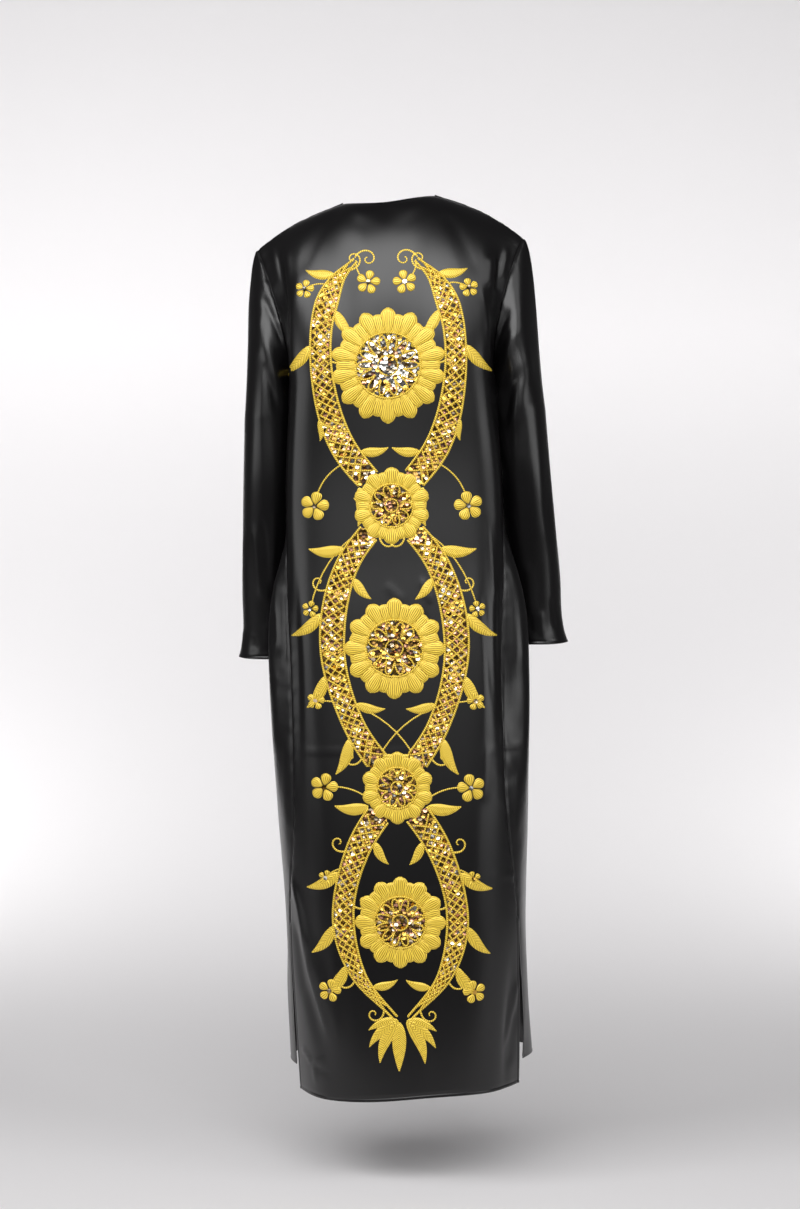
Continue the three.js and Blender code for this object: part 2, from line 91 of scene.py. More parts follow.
# place along the top edge, then the arm with which a hanging line leaves it and the arm with which it arrives
BACK_DRAPE = np.array([
    [0, 0, 40, -42, 0, 4, 105],
    [0.22, 0, 76, -16, 0, 5, 100],
    [0.62, -2, 68, -24, -2, 12, 92],
    [1, -18, 40, -44, -1, 56, 60],
], float)
FRONT_DRAPE = np.array([
    [0, 1, -52, 30, 4, 6, 112],
    [0.3, 1, -54, 24, 2, 4, 108],
    [0.65, -1, -52, 8, -1, -8, 98],
    [1, -16, -40, -44, 2, -80, 62],
], float)
# level, outermost x, innermost x, middle y and half depth of a sleeve
SLEEVE = np.array([
    [-332, 236, 157, -7, 60],
    [-430, 242, 158, -14, 56],
    [-520, 248, 163, -30, 51],
    [-600, 252, 167, -48, 48],
    [-650, 253, 168, -58, 48],
    [-680, 257, 169, -65, 50],
    [-700, 263, 170, -70, 54],
], float)
# arms of the sleeve head a quarter turn apart: shoulder tip, back, underarm and front
CAP_DRAPE = np.array([
    [19, -1, -22, -11, 2, 90],
    [26, 10, -26, -8, 4, 62],
    [9, -2, -12, 3, 2, 18],
    [26, -10, -26, -8, -4, 62],
], float)

# %% [markdown]
# ## From sections to points
# Three small helpers do all the work. The first reads a smooth value between the rows of a table. The second
# runs a smooth curve through the points of a section, and the third hangs a line of cloth from an edge.

# %% Helpers for smooth values, rings and hanging lines
FINE = 80  # samples along a curve before it is divided evenly


def smooth(t):
    t = np.clip(t, 0, 1)
    return t * t * (3 - 2 * t)


def column_at(rows, column, place):
    """Smooth value of one column of a table, at places along its first column."""
    keys, values = rows[:, 0], rows[:, column]
    last = len(keys) - 1
    way = np.sign(keys[-1] - keys[0])
    place = np.asarray(place, float)
    i = np.clip(np.searchsorted(way * keys, way * place, side="left"), 1, last)
    low, high = np.maximum(np.arange(last + 1) - 1, 0), np.minimum(np.arange(last + 1) + 1, last)
    slopes = (values[high] - values[low]) / (keys[high] - keys[low])
    span, rise = keys[i] - keys[i - 1], values[i] - values[i - 1]
    t = (place - keys[i - 1]) / span
    start_bend, end_bend = slopes[i - 1] * span - rise, slopes[i] * span - rise
    return values[i - 1] + rise * t + t * (1 - t) * (start_bend * (1 - t) - end_bend * t)


def divide(fine, shares):
    """Points at the given shares of the length of a finely sampled curve."""
    run = np.concatenate([[0], np.cumsum(np.linalg.norm(np.diff(fine, axis=0), axis=1))])
    at = np.asarray(shares) * run[-1]
    return np.stack([np.interp(at, run, fine[:, k]) for k in range(3)], axis=1)


def through(points, start, end, shares):
    """Centripetal curve through points, from one of them to another, divided at shares of its length."""
    t = np.linspace(start, end, FINE + 1)
    i = np.minimum(t.astype(int), len(points) - 2)
    padded = np.vstack([2 * points[0] - points[1], points, 2 * points[-1] - points[-2]])
    p0, p1, p2, p3 = (padded[i + k] for k in range(4))
    gaps = [np.sqrt(np.linalg.norm(b - a, axis=1, keepdims=True)) for a, b in ((p0, p1), (p1, p2), (p2, p3))]
    d0, d1, d2 = gaps
    m1 = ((p1 - p0) / d0 - (p2 - p0) / (d0 + d1) + (p2 - p1) / d1) * d1
    m2 = ((p2 - p1) / d1 - (p3 - p1) / (d1 + d2) + (p3 - p2) / d2) * d1
    w = (t - i)[:, None]
    curve = p1 + m1 * w + (3 * (p2 - p1) - 2 * m1 - m2) * w**2 + (2 * (p1 - p2) + m1 + m2) * w**3
    return divide(curve, shares)


def hang(start, leave, arrive, end, shares):
    """A line of cloth that leaves its start and reaches its end along the given arms."""
    t = np.linspace(0, 1, FINE + 1)[:, None]
    a, b = start + leave, end + arrive
    curve = start * (1 - t) ** 3 + 3 * a * t * (1 - t) ** 2 + 3 * b * t**2 * (1 - t) + end * t**3
    return divide(curve, shares)


def ring_half(z, part, shares):
    """Points of the left half ring at one level: the back's or the front's share of it."""
    places = [[column_at(BODY, c, z), column_at(BODY, c + 1, z), z] for c in range(2, 14, 2)]
    blade = places[0]
    points = np.array([[-blade[0], blade[1], z], [0, column_at(BODY, 1, z), z], *places], float)
    return through(points, 1, 3, shares) if part == "back" else through(points, 3, 7, shares)


def top_edge(column):
    """Point of the top edge: the neckline up to column 3, then the shoulder seam."""
    if column < NECK_UNITS:
        t = column / NECK_UNITS
        y = BACK_NECK_Y + (NECK_Y - BACK_NECK_Y) * t**3
        return np.array([NECK_HALF * t, y, -BACK_NECK_DROP * (1 - t * t)])
    t = (column - NECK_UNITS) / SHOULDER_UNITS
    fall = SHOULDER_STRAIGHT * t + (1 - SHOULDER_STRAIGHT) * t**SHOULDER_POWER
    return np.array([NECK_HALF + (TIP[0] - NECK_HALF) * t, NECK_Y + (TIP[1] - NECK_Y) * t, TIP[2] * fall])


def pose(p):
    """The worn coat is turned a little about the neck, leans, and is held higher at its right shoulder."""
    x = p[..., 0] * math.cos(TURN) - p[..., 1] * math.sin(TURN) + LEAN * p[..., 2]
    y = p[..., 0] * math.sin(TURN) + p[..., 1] * math.cos(TURN)
    z = p[..., 2] - TILT_RISE * np.tanh(p[..., 0] / TILT_REACH)
    return np.stack([x, y, z], axis=-1)


# %% Where the rows and columns of the sheets lie
EDGE_LINES = (0.6, 1.4, 2.4, 3.4, 4.4, 5.6)  # mm in from an edge, closer together for seams and hems
COLUMN_WIDTH, TOP_ROW_HEIGHT, HEM_ROW_HEIGHT, CUFF_ROW_HEIGHT = 20, 25, 44, 28  # mm of one unit, about


def spaced(units, per_unit, unit, start=True, end=True):
    """Places from 0 to units, with extra lines near one or both ends."""
    places = np.arange(0, units * per_unit + 1) / per_unit
    extra = np.array(EDGE_LINES) / unit
    inner = places[(places > extra[-1] * 1.25) & (places < units - extra[-1] * 1.25)]
    first = np.concatenate([[0], extra]) if start else places[places < inner[0]]
    final = np.concatenate([units - extra[::-1], [units]]) if end else places[places > inner[-1]]
    return np.concatenate([first, inner, final])


SHOULDER_COLUMNS = spaced(SHOULDER_UNITS, 4, COLUMN_WIDTH)
NECK_COLUMNS = spaced(NECK_UNITS, 4, COLUMN_WIDTH, start=False, end=False)[:-1]
ARMHOLE_ROWS = spaced(ARMHOLE_UNITS, 5, TOP_ROW_HEIGHT, end=False)
SIDE_ROWS = spaced(SIDE_UNITS, 8, HEM_ROW_HEIGHT, start=False, end=False)[1:]
SLIT_ROWS = spaced(SLIT_UNITS, 8, HEM_ROW_HEIGHT, start=False)[1:]
CAP_ROWS = spaced(CAP_UNITS, 6, CUFF_ROW_HEIGHT, end=False)
SLEEVE_ROWS = spaced(SLEEVE_UNITS, 6, CUFF_ROW_HEIGHT, start=False)[1:]
BACK_COLUMNS = np.concatenate([NECK_COLUMNS, NECK_UNITS + SHOULDER_COLUMNS])
print("rows", len(ARMHOLE_ROWS) + len(SIDE_ROWS) + len(SLIT_ROWS), "columns", 2 * len(BACK_COLUMNS) - 1)


# %% Grids of the panels before the pose
def lengths(grid, axis):
    """Length of cloth along a row or a column, at each point."""
    steps = np.linalg.norm(np.diff(grid, axis=axis), axis=2)
    first = np.zeros_like(np.take(steps, [0], axis=axis))
    return np.concatenate([first, np.cumsum(steps, axis=axis)], axis=axis)


def levels_to(hem):
    side = CHEST_Z + (SLIT_Z - CHEST_Z) * SIDE_ROWS / SIDE_UNITS
    slit = SLIT_Z + (hem - SLIT_Z) * SLIT_ROWS / SLIT_UNITS
    return np.concatenate([side, slit])


def upper(columns, start_of, end_of, table, place_of):
    """Rows from the top edge down to the chest level."""
    lines = []
    for c in columns:
        arms = np.array([column_at(table, k, place_of(c)) for k in range(1, 7)])
        lines.append(hang(start_of(c), arms[:3], arms[3:], end_of(c), ARMHOLE_ROWS / ARMHOLE_UNITS))
    return np.stack(lines, axis=1)


def back_half():
    chest = ring_half(CHEST_Z, "back", BACK_COLUMNS / BACK_UNITS)
    ends = dict(zip(BACK_COLUMNS, chest))
    top = upper(BACK_COLUMNS, top_edge, ends.get, BACK_DRAPE, lambda c: c / BACK_UNITS)
    rows = [ring_half(z, "back", BACK_COLUMNS / BACK_UNITS) for z in levels_to(BACK_HEM_Z)]
    return np.concatenate([top, rows])


def front_half():
    """Columns run from the side seam to the front edge."""
    columns = SHOULDER_COLUMNS[::-1]
    shares = 1 - columns / SHOULDER_UNITS
    chest = ring_half(CHEST_Z, "front", shares)
    ends = dict(zip(columns, chest))
    top = upper(
        columns, lambda c: top_edge(NECK_UNITS + c), ends.get, FRONT_DRAPE, lambda c: c / SHOULDER_UNITS
    )
    rows = []
    for z in levels_to(FRONT_HEM_Z):
        row = ring_half(z, "front", shares)
        spread = smooth((SLIT_Z - z) / (SLIT_Z - FRONT_HEM_Z)) * (1 - shares) ** 2
        row[:, 0] += SLIT_SPREAD[0] * spread
        row[:, 1] += SLIT_SPREAD[1] * spread
        rows.append(row)
    return np.concatenate([top, rows])


def sleeve_ring(z, turns):
    outer, inner, y, half = (column_at(SLEEVE, k, z) for k in range(1, 5))
    x = (outer + inner) / 2 + (outer - inner) / 2 * np.cos(turns)
    return np.stack([x, y + half * np.sin(turns), np.full_like(turns, z)], axis=1)


def sleeve_half(back, front):
    """Columns run from the shoulder's tip down the back of the armhole and up its front."""
    count = len(ARMHOLE_ROWS)
    armhole = np.concatenate([back[:count, -1], front[1:count - 1, 0][::-1]])
    places = np.concatenate([ARMHOLE_ROWS, 2 * ARMHOLE_UNITS - ARMHOLE_ROWS[1:-1][::-1]])
    turns = math.pi * places / ARMHOLE_UNITS
    first = sleeve_ring(SLEEVE[0, 0], turns)
    lines = []
    for place, start, end in zip(places, armhole, first):
        quarter = 2 * place / ARMHOLE_UNITS
        i = int(quarter) % 4
        blend = smooth(quarter - int(quarter))
        arms = CAP_DRAPE[i] * (1 - blend) + CAP_DRAPE[(i + 1) % 4] * blend
        lines.append(hang(start, arms[:3], arms[3:], end, CAP_ROWS / CAP_UNITS))
    levels = SLEEVE[0, 0] + (SLEEVE[-1, 0] - SLEEVE[0, 0]) * SLEEVE_ROWS / SLEEVE_UNITS
    return np.concatenate([np.stack(lines, axis=1), [sleeve_ring(z, turns) for z in levels]])


def hang_cuff(grid, side):
    share = smooth((SLEEVE[0, 0] - grid[..., 2]) / (SLEEVE[0, 0] - SLEEVE[-1, 0]))
    behind = np.clip((grid[..., 1] - CUFF_FRONT_Y) / (CUFF_BACK_Y - CUFF_FRONT_Y), 0, 1)
    grid = grid.copy()
    grid[..., 2] -= share * (side * CUFF_LIFT + CUFF_SAG * behind)
    return grid


EASE, EASE_TOP, EASE_CHEST = 1.3, 60, 120  # columns; and mm below the top edge and above the chest level


def eased(grid, places):
    """Lets the corner at the neck's end die out below the top edge, as cloth that lies over a shoulder does."""
    run = lengths(grid[:len(ARMHOLE_ROWS)], 0)
    edge = BACK_UNITS - np.abs(places)
    weight_of_column = np.gradient(places)
    for r in range(1, len(run)):
        reach = EASE * smooth(run[r] / EASE_TOP) * smooth((run[-1] - run[r]) / EASE_CHEST)
        reach = np.minimum(reach, edge / 2) + 1e-3
        weights = np.exp(-(((places[:, None] - places[None]) / reach[:, None]) ** 2)) * weight_of_column
        grid[r] = weights @ grid[r] / weights.sum(axis=1, keepdims=True)
    return grid


MIRROR = np.array([-1, 1, 1])
half_back = back_half()
whole_back = np.concatenate([half_back[:, :0:-1] * MIRROR, half_back], axis=1)
whole_back = eased(whole_back, np.concatenate([-BACK_COLUMNS[:0:-1], BACK_COLUMNS]))
half_front = front_half()
half_sleeve = sleeve_half(half_back, half_front)
GRIDS = {
    "back": whole_back,
    "front_left": half_front,
    "front_right": half_front[:, ::-1] * MIRROR,
    "sleeve_left": hang_cuff(half_sleeve, 1)[:, ::-1],
    "sleeve_right": hang_cuff(half_sleeve, -1) * MIRROR,
}
GRIDS = {name: pose(grid) for name, grid in GRIDS.items()}
for name, grid in GRIDS.items():
    print(name, grid.shape[0], "rows by", grid.shape[1], "columns")

# %% [markdown]
# ## Soft folds and creases
# Satin hangs in long soft folds, with a few crisp ridges where it is pulled: at the armholes, above the slits
# and at the hips. Noise would fold the cloth everywhere alike, so every fold is placed one by one. The big ones
# are the same as on the solid panels, except the last two, which bring the body up to the sleeves below the
# underarms. The hidden cloth of body and sleeve runs a few millimetres into each other there. The finer creases
# are drawn over them as lines on the side of the coat that they show on.

# %% Tables of the folds, in millimetres
# from x, y, z, to x, y, z, width and depth; a negative depth is a trough
BODY_FOLDS = [
    (176, 40, -92, 152, 66, -236, 14, -5), (142, 70, -96, 132, 88, -250, 16, 4),
    (-172, 40, -84, -150, 66, -190, 14, -6), (-146, 66, -78, -134, 88, -230, 16, 5),
    (-118, 96, -130, -126, 94, -330, 16, -3), (-156, 78, -510, -176, 90, -930, 14, -8),
    (-132, 104, -560, -150, 112, -900, 15, 3), (-188, 70, -580, -214, 60, -960, 16, 6),
    (148, 76, -500, 138, 92, -940, 13, -5), (158, 58, -1050, 84, 122, -1310, 16, 6),
    (140, 60, -1180, 96, 108, -1350, 14, -4), (-196, 20, -1190, -194, 20, -1380, 14, 6),
    (-182, 66, -1170, -176, 70, -1380, 13, -5), (84, -108, -330, 82, -140, -1350, 22, -7),
    (124, -112, -700, 122, -140, -1350, 20, 6), (56, -116, -520, 44, -150, -1350, 18, 4),
    (164, -20, -1130, 162, -66, -1350, 16, 4), (-104, -106, -330, -138, -140, -1350, 22, -6),
    (-156, -100, -700, -184, -128, -1350, 20, 7), (-74, -116, -480, -106, -150, -1350, 18, 4),
    (-214, -30, -1100, -224, -80, -1370, 34, -10), (-165, 30, -262, -171, 38, -352, 15, 7),
    (151, 12, -262, 152, 18, -340, 14, 5),
]
SLEEVE_FOLDS = [
    (206, 54, -150, 206, 52, -420, 15, 5), (184, 54, -220, 168, 48, -420, 14, -5),
    (224, 28, -450, 212, -6, -660, 14, -5), (192, 30, -500, 180, -16, -700, 14, 5),
    (230, -40, -300, 232, -62, -600, 16, -4), (-192, 56, -150, -212, 54, -380, 15, 6),
    (-172, 62, -200, -192, 50, -420, 14, -5), (-234, 30, -380, -238, 0, -640, 15, -5),
    (-252, -34, -460, -262, -56, -700, 16, 5),
]
# side of the coat (1 its back, -1 its front), then x and z of three points along the crease, its width and
# depth
BODY_CREASES = [
    (1, 173, -80, 168, -124, 162, -172, 7, -2.6), (1, 160, -72, 157, -122, 154, -180, 7, 2.2),
    (1, 144, -136, 150, -210, 152, -330, 5, 1.4), (1, 186, -58, 176, -96, 168, -150, 4, 1.2),
    (1, -155, -90, -160, -120, -152, -150, 7, 3.0), (1, -170, -84, -172, -124, -163, -158, 5, -3.0),
    (1, -136, -138, -154, -200, -160, -308, 4, 1.6), (1, -183, -74, -180, -104, -170, -140, 4, 1.8),
    (1, 74, -16, 112, -50, 142, -142, 12, -2.0), (1, -82, -20, -112, -64, -142, -146, 11, -2.2),
    (1, -48, -590, -56, -616, -66, -632, 5, 1.1), (1, -44, -640, -58, -662, -66, -682, 5, -1.2),
    (1, -40, -662, -54, -686, -60, -712, 5, 1.0), (1, 6, -600, -8, -618, -26, -630, 6, 0.8),
    (1, 176, -560, 170, -640, 172, -726, 6, 2.0), (1, 180, -640, 184, -668, 178, -700, 5, -2.2),
    (1, 166, -600, 160, -660, 160, -748, 5, -1.4), (1, 178, -752, 172, -800, 176, -880, 6, 1.6),
    (1, 168, -700, 174, -724, 168, -752, 5, -1.4), (1, 158, -820, 156, -900, 158, -1010, 7, 1.2),
    (1, -150, -486, -156, -560, -164, -640, 4, 1.2), (1, -142, -604, -152, -690, -158, -800, 5, -1.2),
    (1, -184, -560, -196, -640, -200, -760, 8, 2.6), (1, -203, -700, -206, -780, -202, -852, 5, -1.6),
    (1, -176, -800, -178, -850, -190, -900, 7, 1.6), (1, -146, -840, -150, -890, -144, -940, 7, 1.2),
    (1, -196, -880, -200, -940, -196, -1000, 5, 1.4), (1, 152, -1054, 128, -1110, 124, -1170, 4, 2.4),
    (1, 124, -1170, 116, -1220, 86, -1306, 4, 2.0), (1, 142, -1120, 134, -1180, 132, -1250, 6, -1.6),
    (1, 118, -1342, 106, -1336, 96, -1330, 3, 1.8), (1, 118, -1342, 100, -1350, 84, -1354, 3, -1.6),
    (1, 118, -1342, 126, -1330, 136, -1322, 3, 1.6), (1, 116, -1340, 112, -1356, 112, -1372, 4, 1.2),
    (1, -200, -1206, -188, -1270, -178, -1322, 4, 2.2), (1, -196, -1250, -190, -1310, -186, -1350, 5, -2.0),
    (1, -204, -1190, -204, -1250, -200, -1310, 4, 1.6), (1, 84, -1080, 80, -1200, 82, -1370, 9, 1.0),
    (1, 40, -940, 44, -1120, 40, -1340, 14, -0.9), (1, -60, -1100, -66, -1220, -62, -1370, 12, 0.9),
    (1, 164, -854, 100, -858, 38, -858, 2.6, 0.6), (1, -142, -855, -172, -852, -208, -850, 2.6, 0.8),
    (1, 132, -1066, 84, -1072, 36, -1072, 2.4, 0.6), (1, -148, -1046, -176, -1048, -206, -1046, 2.6, 0.7),
    (1, -36, -1070, -66, -1068, -96, -1072, 2.4, 0.4), (1, 20, -858, -20, -856, -60, -858, 2.6, 0.4),
    (-1, 150, -90, 146, -140, 142, -190, 8, 2.6), (-1, 164, -96, 160, -150, 152, -204, 7, -2.8),
    (-1, -158, -86, -160, -140, -156, -196, 8, 2.8), (-1, -172, -90, -172, -140, -164, -190, 7, -2.6),
    (-1, 104, -230, 108, -330, 112, -470, 9, 2.0), (-1, -120, -220, -128, -330, -134, -480, 9, 2.2),
    (-1, 150, -560, 152, -660, 150, -760, 7, 2.0), (-1, 168, -640, 162, -720, 158, -820, 7, -2.2),
    (-1, -180, -580, -188, -680, -190, -780, 7, 2.2), (-1, -196, -640, -198, -740, -196, -860, 7, -2.0),
    (-1, 70, -640, 66, -840, 66, -1040, 8, 1.6), (-1, -102, -640, -110, -860, -116, -1080, 8, 1.8),
    (-1, 104, -900, 108, -1090, 102, -1300, 8, -1.8), (-1, -150, -900, -158, -1100, -164, -1300, 8, -2.0),
    (-1, 140, -1120, 146, -1220, 150, -1340, 6, 1.8), (-1, -186, -1120, -196, -1220, -204, -1340, 6, 1.8),
    (-1, 44, -1060, 38, -1180, 34, -1340, 7, 1.6), (-1, -84, -1060, -90, -1180, -98, -1340, 7, 1.4),
    (-1, 132, -856, 96, -858, 58, -856, 2.6, 0.6), (-1, -80, -856, -130, -858, -176, -856, 2.6, 0.6),
    (-1, 136, -1072, 96, -1070, 60, -1072, 2.6, 0.6), (-1, -96, -1072, -136, -1070, -176, -1070, 2.6, 0.6),
]
SLEEVE_CREASES = [
    (1, 196, -112, 182, -156, 156, -212, 7, 2.4), (1, 198, -146, 184, -184, 160, -236, 6, -2.4),
    (1, 206, -170, 196, -232, 168, -306, 9, 2.2), (1, 200, -230, 186, -290, 164, -352, 8, -1.8),
    (1, 216, -110, 218, -230, 216, -360, 9, 1.6), (1, 232, -330, 236, -450, 228, -560, 9, -1.4),
    (1, 212, -500, 208, -566, 200, -632, 6, 2.2), (1, 200, -486, 192, -560, 186, -640, 6, -2.6),
    (1, 182, -480, 180, -560, 196, -640, 6, 1.6), (1, 226, -560, 222, -630, 226, -690, 8, 1.4),
    (1, 238, -650, 240, -676, 246, -706, 4, -1.4), (1, 230, -672, 232, -690, 234, -710, 4, 1.4),
    (1, 216, -676, 216, -692, 214, -710, 5, -1.2), (1, 196, -660, 192, -684, 194, -706, 5, 1.4),
    (1, -194, -94, -182, -138, -158, -196, 7, 3.0), (1, -190, -172, -172, -206, -158, -244, 6, -3.0),
    (1, -200, -196, -180, -250, -164, -302, 8, 3.0), (1, -206, -262, -182, -316, -170, -372, 8, -2.8),
    (1, -216, -230, -206, -300, -186, -380, 10, 2.2), (1, -226, -260, -232, -410, -240, -560, 12, 1.6),
    (1, -204, -400, -214, -500, -222, -600, 10, -1.6), (1, -240, -480, -246, -580, -252, -670, 9, 1.6),
    (1, -218, -560, -222, -610, -226, -660, 7, 1.4), (1, -254, -620, -258, -650, -264, -676, 5, -1.4),
    (1, -236, -640, -240, -664, -240, -686, 5, 1.4), (1, -220, -640, -222, -662, -224, -684, 5, -1.2),
    (1, -168, -290, -166, -350, -168, -430, 12, 3.0),
    (-1, 196, -120, 184, -170, 164, -230, 8, 2.6), (-1, 206, -180, 194, -240, 172, -300, 8, -2.6),
    (-1, 214, -300, 212, -390, 220, -480, 8, 2.4), (-1, 200, -400, 196, -460, 204, -520, 7, -2.6),
    (-1, 196, -430, 212, -450, 232, -456, 7, 2.2), (-1, 192, -470, 210, -496, 234, -500, 7, -2.0),
    (-1, 222, -540, 216, -610, 220, -690, 7, 1.8), (-1, -204, -110, -188, -166, -172, -226, 8, 2.6),
    (-1, -214, -170, -202, -232, -184, -290, 8, -2.6), (-1, -220, -290, -222, -390, -232, -470, 8, 2.4),
    (-1, -204, -420, -222, -440, -246, -440, 7, 2.2), (-1, -206, -462, -224, -486, -250, -488, 7, -2.2),
    (-1, -236, -520, -236, -600, -242, -680, 7, 1.8),
]
SEAM_DIP, SEAM_DIP_WIDTH = 1.3, 2.4  # how far a seam draws the cloth in, and how near to the stitches
PUCKER, PUCKER_REACH, PUCKER_LENGTH = 0.55, 8, 22  # ripples beside a seam, in from it and along it
HEM_LINE, HEM_LINE_DEPTH, HEM_LINE_WIDTH = 4.4, 0.4, 0.75  # the row of stitches of a turned hem


# %% Outward directions and folds
def faced(grid, closed):
    """Outward direction at each point of a grid."""
    down = np.concatenate([grid[1:2] - grid[:1], grid[2:] - grid[:-2], grid[-1:] - grid[-2:-1]])
    if closed:
        after = np.roll(grid, -1, axis=1) - np.roll(grid, 1, axis=1)
    else:
        first, last = grid[:, 1:2] - grid[:, :1], grid[:, -1:] - grid[:, -2:-1]
        after = np.concatenate([first, grid[:, 2:] - grid[:, :-2], last], 1)
    n = np.cross(after, down)
    return n / np.maximum(np.linalg.norm(n, axis=2, keepdims=True), 1e-9)


def is_sleeve(name):
    return name.startswith("sleeve")


NORMALS = {name: faced(grid, is_sleeve(name)) for name, grid in GRIDS.items()}
shared = {}
for name, grid in GRIDS.items():
    for p, n in zip(np.round(grid.reshape(-1, 3), 1).tolist(), NORMALS[name].reshape(-1, 3)):
        shared[tuple(p)] = shared.get(tuple(p), 0) + n
for name, grid in GRIDS.items():
    sums = np.array([shared[tuple(p)] for p in np.round(grid.reshape(-1, 3), 1).tolist()])
    NORMALS[name] = (sums / np.linalg.norm(sums, axis=1, keepdims=True)).reshape(grid.shape)


def fade(share):
    return smooth(1.4 * share + 0.2)


def big_folds(grid, folds):
    depth = np.zeros(grid.shape[:2])
    for row in folds:
        start, line = np.array(row[:3], float), np.subtract(row[3:6], row[:3]).astype(float)
        share = (grid - start) @ line / (line @ line)
        past = np.linalg.norm(grid - start - np.clip(share, 0, 1)[..., None] * line, axis=2) / row[6]
        depth += row[7] * np.exp(-past * past) * fade(share) * fade(1 - share)
    return depth


def creases(grid, normals, rows):
    """Each crease follows a bowed line in x and z, and lies only on its own side of the coat."""
    depth = np.zeros(grid.shape[:2])
    flat = grid[..., [0, 2]]
    for row in rows:
        a, b, c = np.reshape(row[1:7], (3, 2)).astype(float)
        reach = 3.2 * row[7]
        low, high = np.min([a, b, c], axis=0) - reach, np.max([a, b, c], axis=0) + reach
        near = np.all((flat > low) & (flat < high), axis=2) & (normals[..., 1] * row[0] > -0.05)
        if not near.any():
            continue
        t = np.linspace(0, 1, 15)[:, None]
        line = a * (1 - t) ** 2 + 2 * b * t * (1 - t) + c * t**2
        p = flat[near]
        best, along = np.full(len(p), 1e9), np.zeros(len(p))
        for i in range(14):
            step = line[i + 1] - line[i]
            s = np.clip((p - line[i]) @ step / (step @ step), 0, 1)
            d = np.linalg.norm(p - line[i] - s[:, None] * step, axis=1)
            closer = d < best
            best, along = np.where(closer, d, best), np.where(closer, (i + s) / 14, along)
        ends = smooth(along * 4) * smooth((1 - along) * 4)
        side = smooth(normals[..., 1][near] * row[0] * 4 + 0.2)
        depth[near] += row[8] * np.exp(-((best / row[7]) ** 2)) * ends * side
    return depth


def waves(length, seed):
    """Uneven ripples along a seam."""
    rng = random.Random(seed)
    total = np.zeros_like(length)
    for scale in (1, 0.62, 1.7):
        total += math.sqrt(scale) * np.sin(2 * math.pi * (length / (PUCKER_LENGTH * scale) + rng.random()))
    return total / 2.2


def dressed(name):
    """The outer face of a panel with its folds, seams and turned hems."""
    grid, normals = GRIDS[name], NORMALS[name]
    rows, cols = grid.shape[:2]
    down, across = lengths(grid, 0), lengths(grid, 1)
    from_left, from_right = across, across[:, -1:] - across
    from_hem = down[-1:] - down
    far = np.full((rows, cols), 1e3)
    if is_sleeve(name):
        depth = big_folds(grid, SLEEVE_FOLDS) * np.clip(down / 56, 0, 1)
        depth += creases(grid, normals, SLEEVE_CREASES) * smooth(down / 12)
        sewn = [(down, across)]
        hems = [from_hem]
    else:
        upper_rows = np.arange(rows)[:, None] < len(ARMHOLE_ROWS)
        sides = {"back": [from_left, from_right], "front_left": [from_left], "front_right": [from_right]}[name]
        free = np.min(sides, axis=0)
        share = np.where(upper_rows, np.clip(free / (2 * COLUMN_WIDTH), 0, 1), 1)
        depth = big_folds(grid, BODY_FOLDS) * share
        depth += creases(grid, normals, BODY_CREASES) * np.where(upper_rows, smooth(free / 10), 1)
        sewn_rows = np.arange(rows)[:, None] < len(ARMHOLE_ROWS) + len(SIDE_ROWS)
        sewn = [(np.where(sewn_rows, side, far), down) for side in sides]
        shoulder = np.where(np.abs(grid[0, :, 0]) >= NECK_HALF - 1, down, far)
        sewn.append((shoulder, across))
        slit = [np.where(sewn_rows, far, side) for side in sides]
        hems = [from_hem, *slit]
        if name == "back":
            hems.append(np.where(np.abs(grid[0, :, 0]) < NECK_HALF, down, far))
        else:
            hems.append(from_right if name == "front_left" else from_left)
    for i, (away, along) in enumerate(sewn):
        depth -= SEAM_DIP * np.exp(-((away / SEAM_DIP_WIDTH) ** 2))
        rise = smooth(away / 2) * np.exp(-away / PUCKER_REACH)
        depth += PUCKER * waves(along, 31 + i + len(name)) * rise
    for away in hems:
        depth += 0.35 * smooth(1.25 - away / HEM_LINE)
        depth -= HEM_LINE_DEPTH * np.exp(-(((away - HEM_LINE) / HEM_LINE_WIDTH) ** 2))
    return grid + normals * depth[..., None], down, across


# %% [markdown]
# ## Black satin
# The coat is cut from black duchess satin. Its long floats lie side by side on the face of the cloth, so it
# gives a broad soft sheen instead of a sharp mirror, and turns from deep black to grey with the angle of the
# light. The weave is 0.1 mm fine and could not be seen, so it is drawn about ten times as coarse and very
# faint, which only breaks up the edges of the highlights as the real threads do.

# %% Colours, nodes and the satin
def colour(hexa):
    """sRGB hex turned into a linear colour."""
    values = [int(hexa[i:i + 2], 16) / 255 for i in (1, 3, 5)]
    return (*[v / 12.92 if v <= 0.04045 else ((v + 0.055) / 1.055) ** 2.4 for v in values], 1)


def add(material, kind, settings=(), inputs=(), **links):
    """Adds a node to a material. Settings are its own options, inputs its values, and links what feeds it."""
    node = material.node_tree.nodes.new(kind)
    for key, value in dict(settings).items():
        setattr(node, key, value)
    for key, value in dict(inputs).items():
        node.inputs[key].default_value = value
    for key, source in links.items():
        material.node_tree.links.new(source, node.inputs[key.replace("_", " ")])
    return node


def material(name, **values):
    m = bpy.data.materials.new(name)
    m.use_nodes = True
    shader = m.node_tree.nodes["Principled BSDF"]
    for key, value in values.items():
        shader.inputs[key.replace("_", " ")].default_value = value
    return m, shader


def link(m, output, socket):
    m.node_tree.links.new(output, socket)


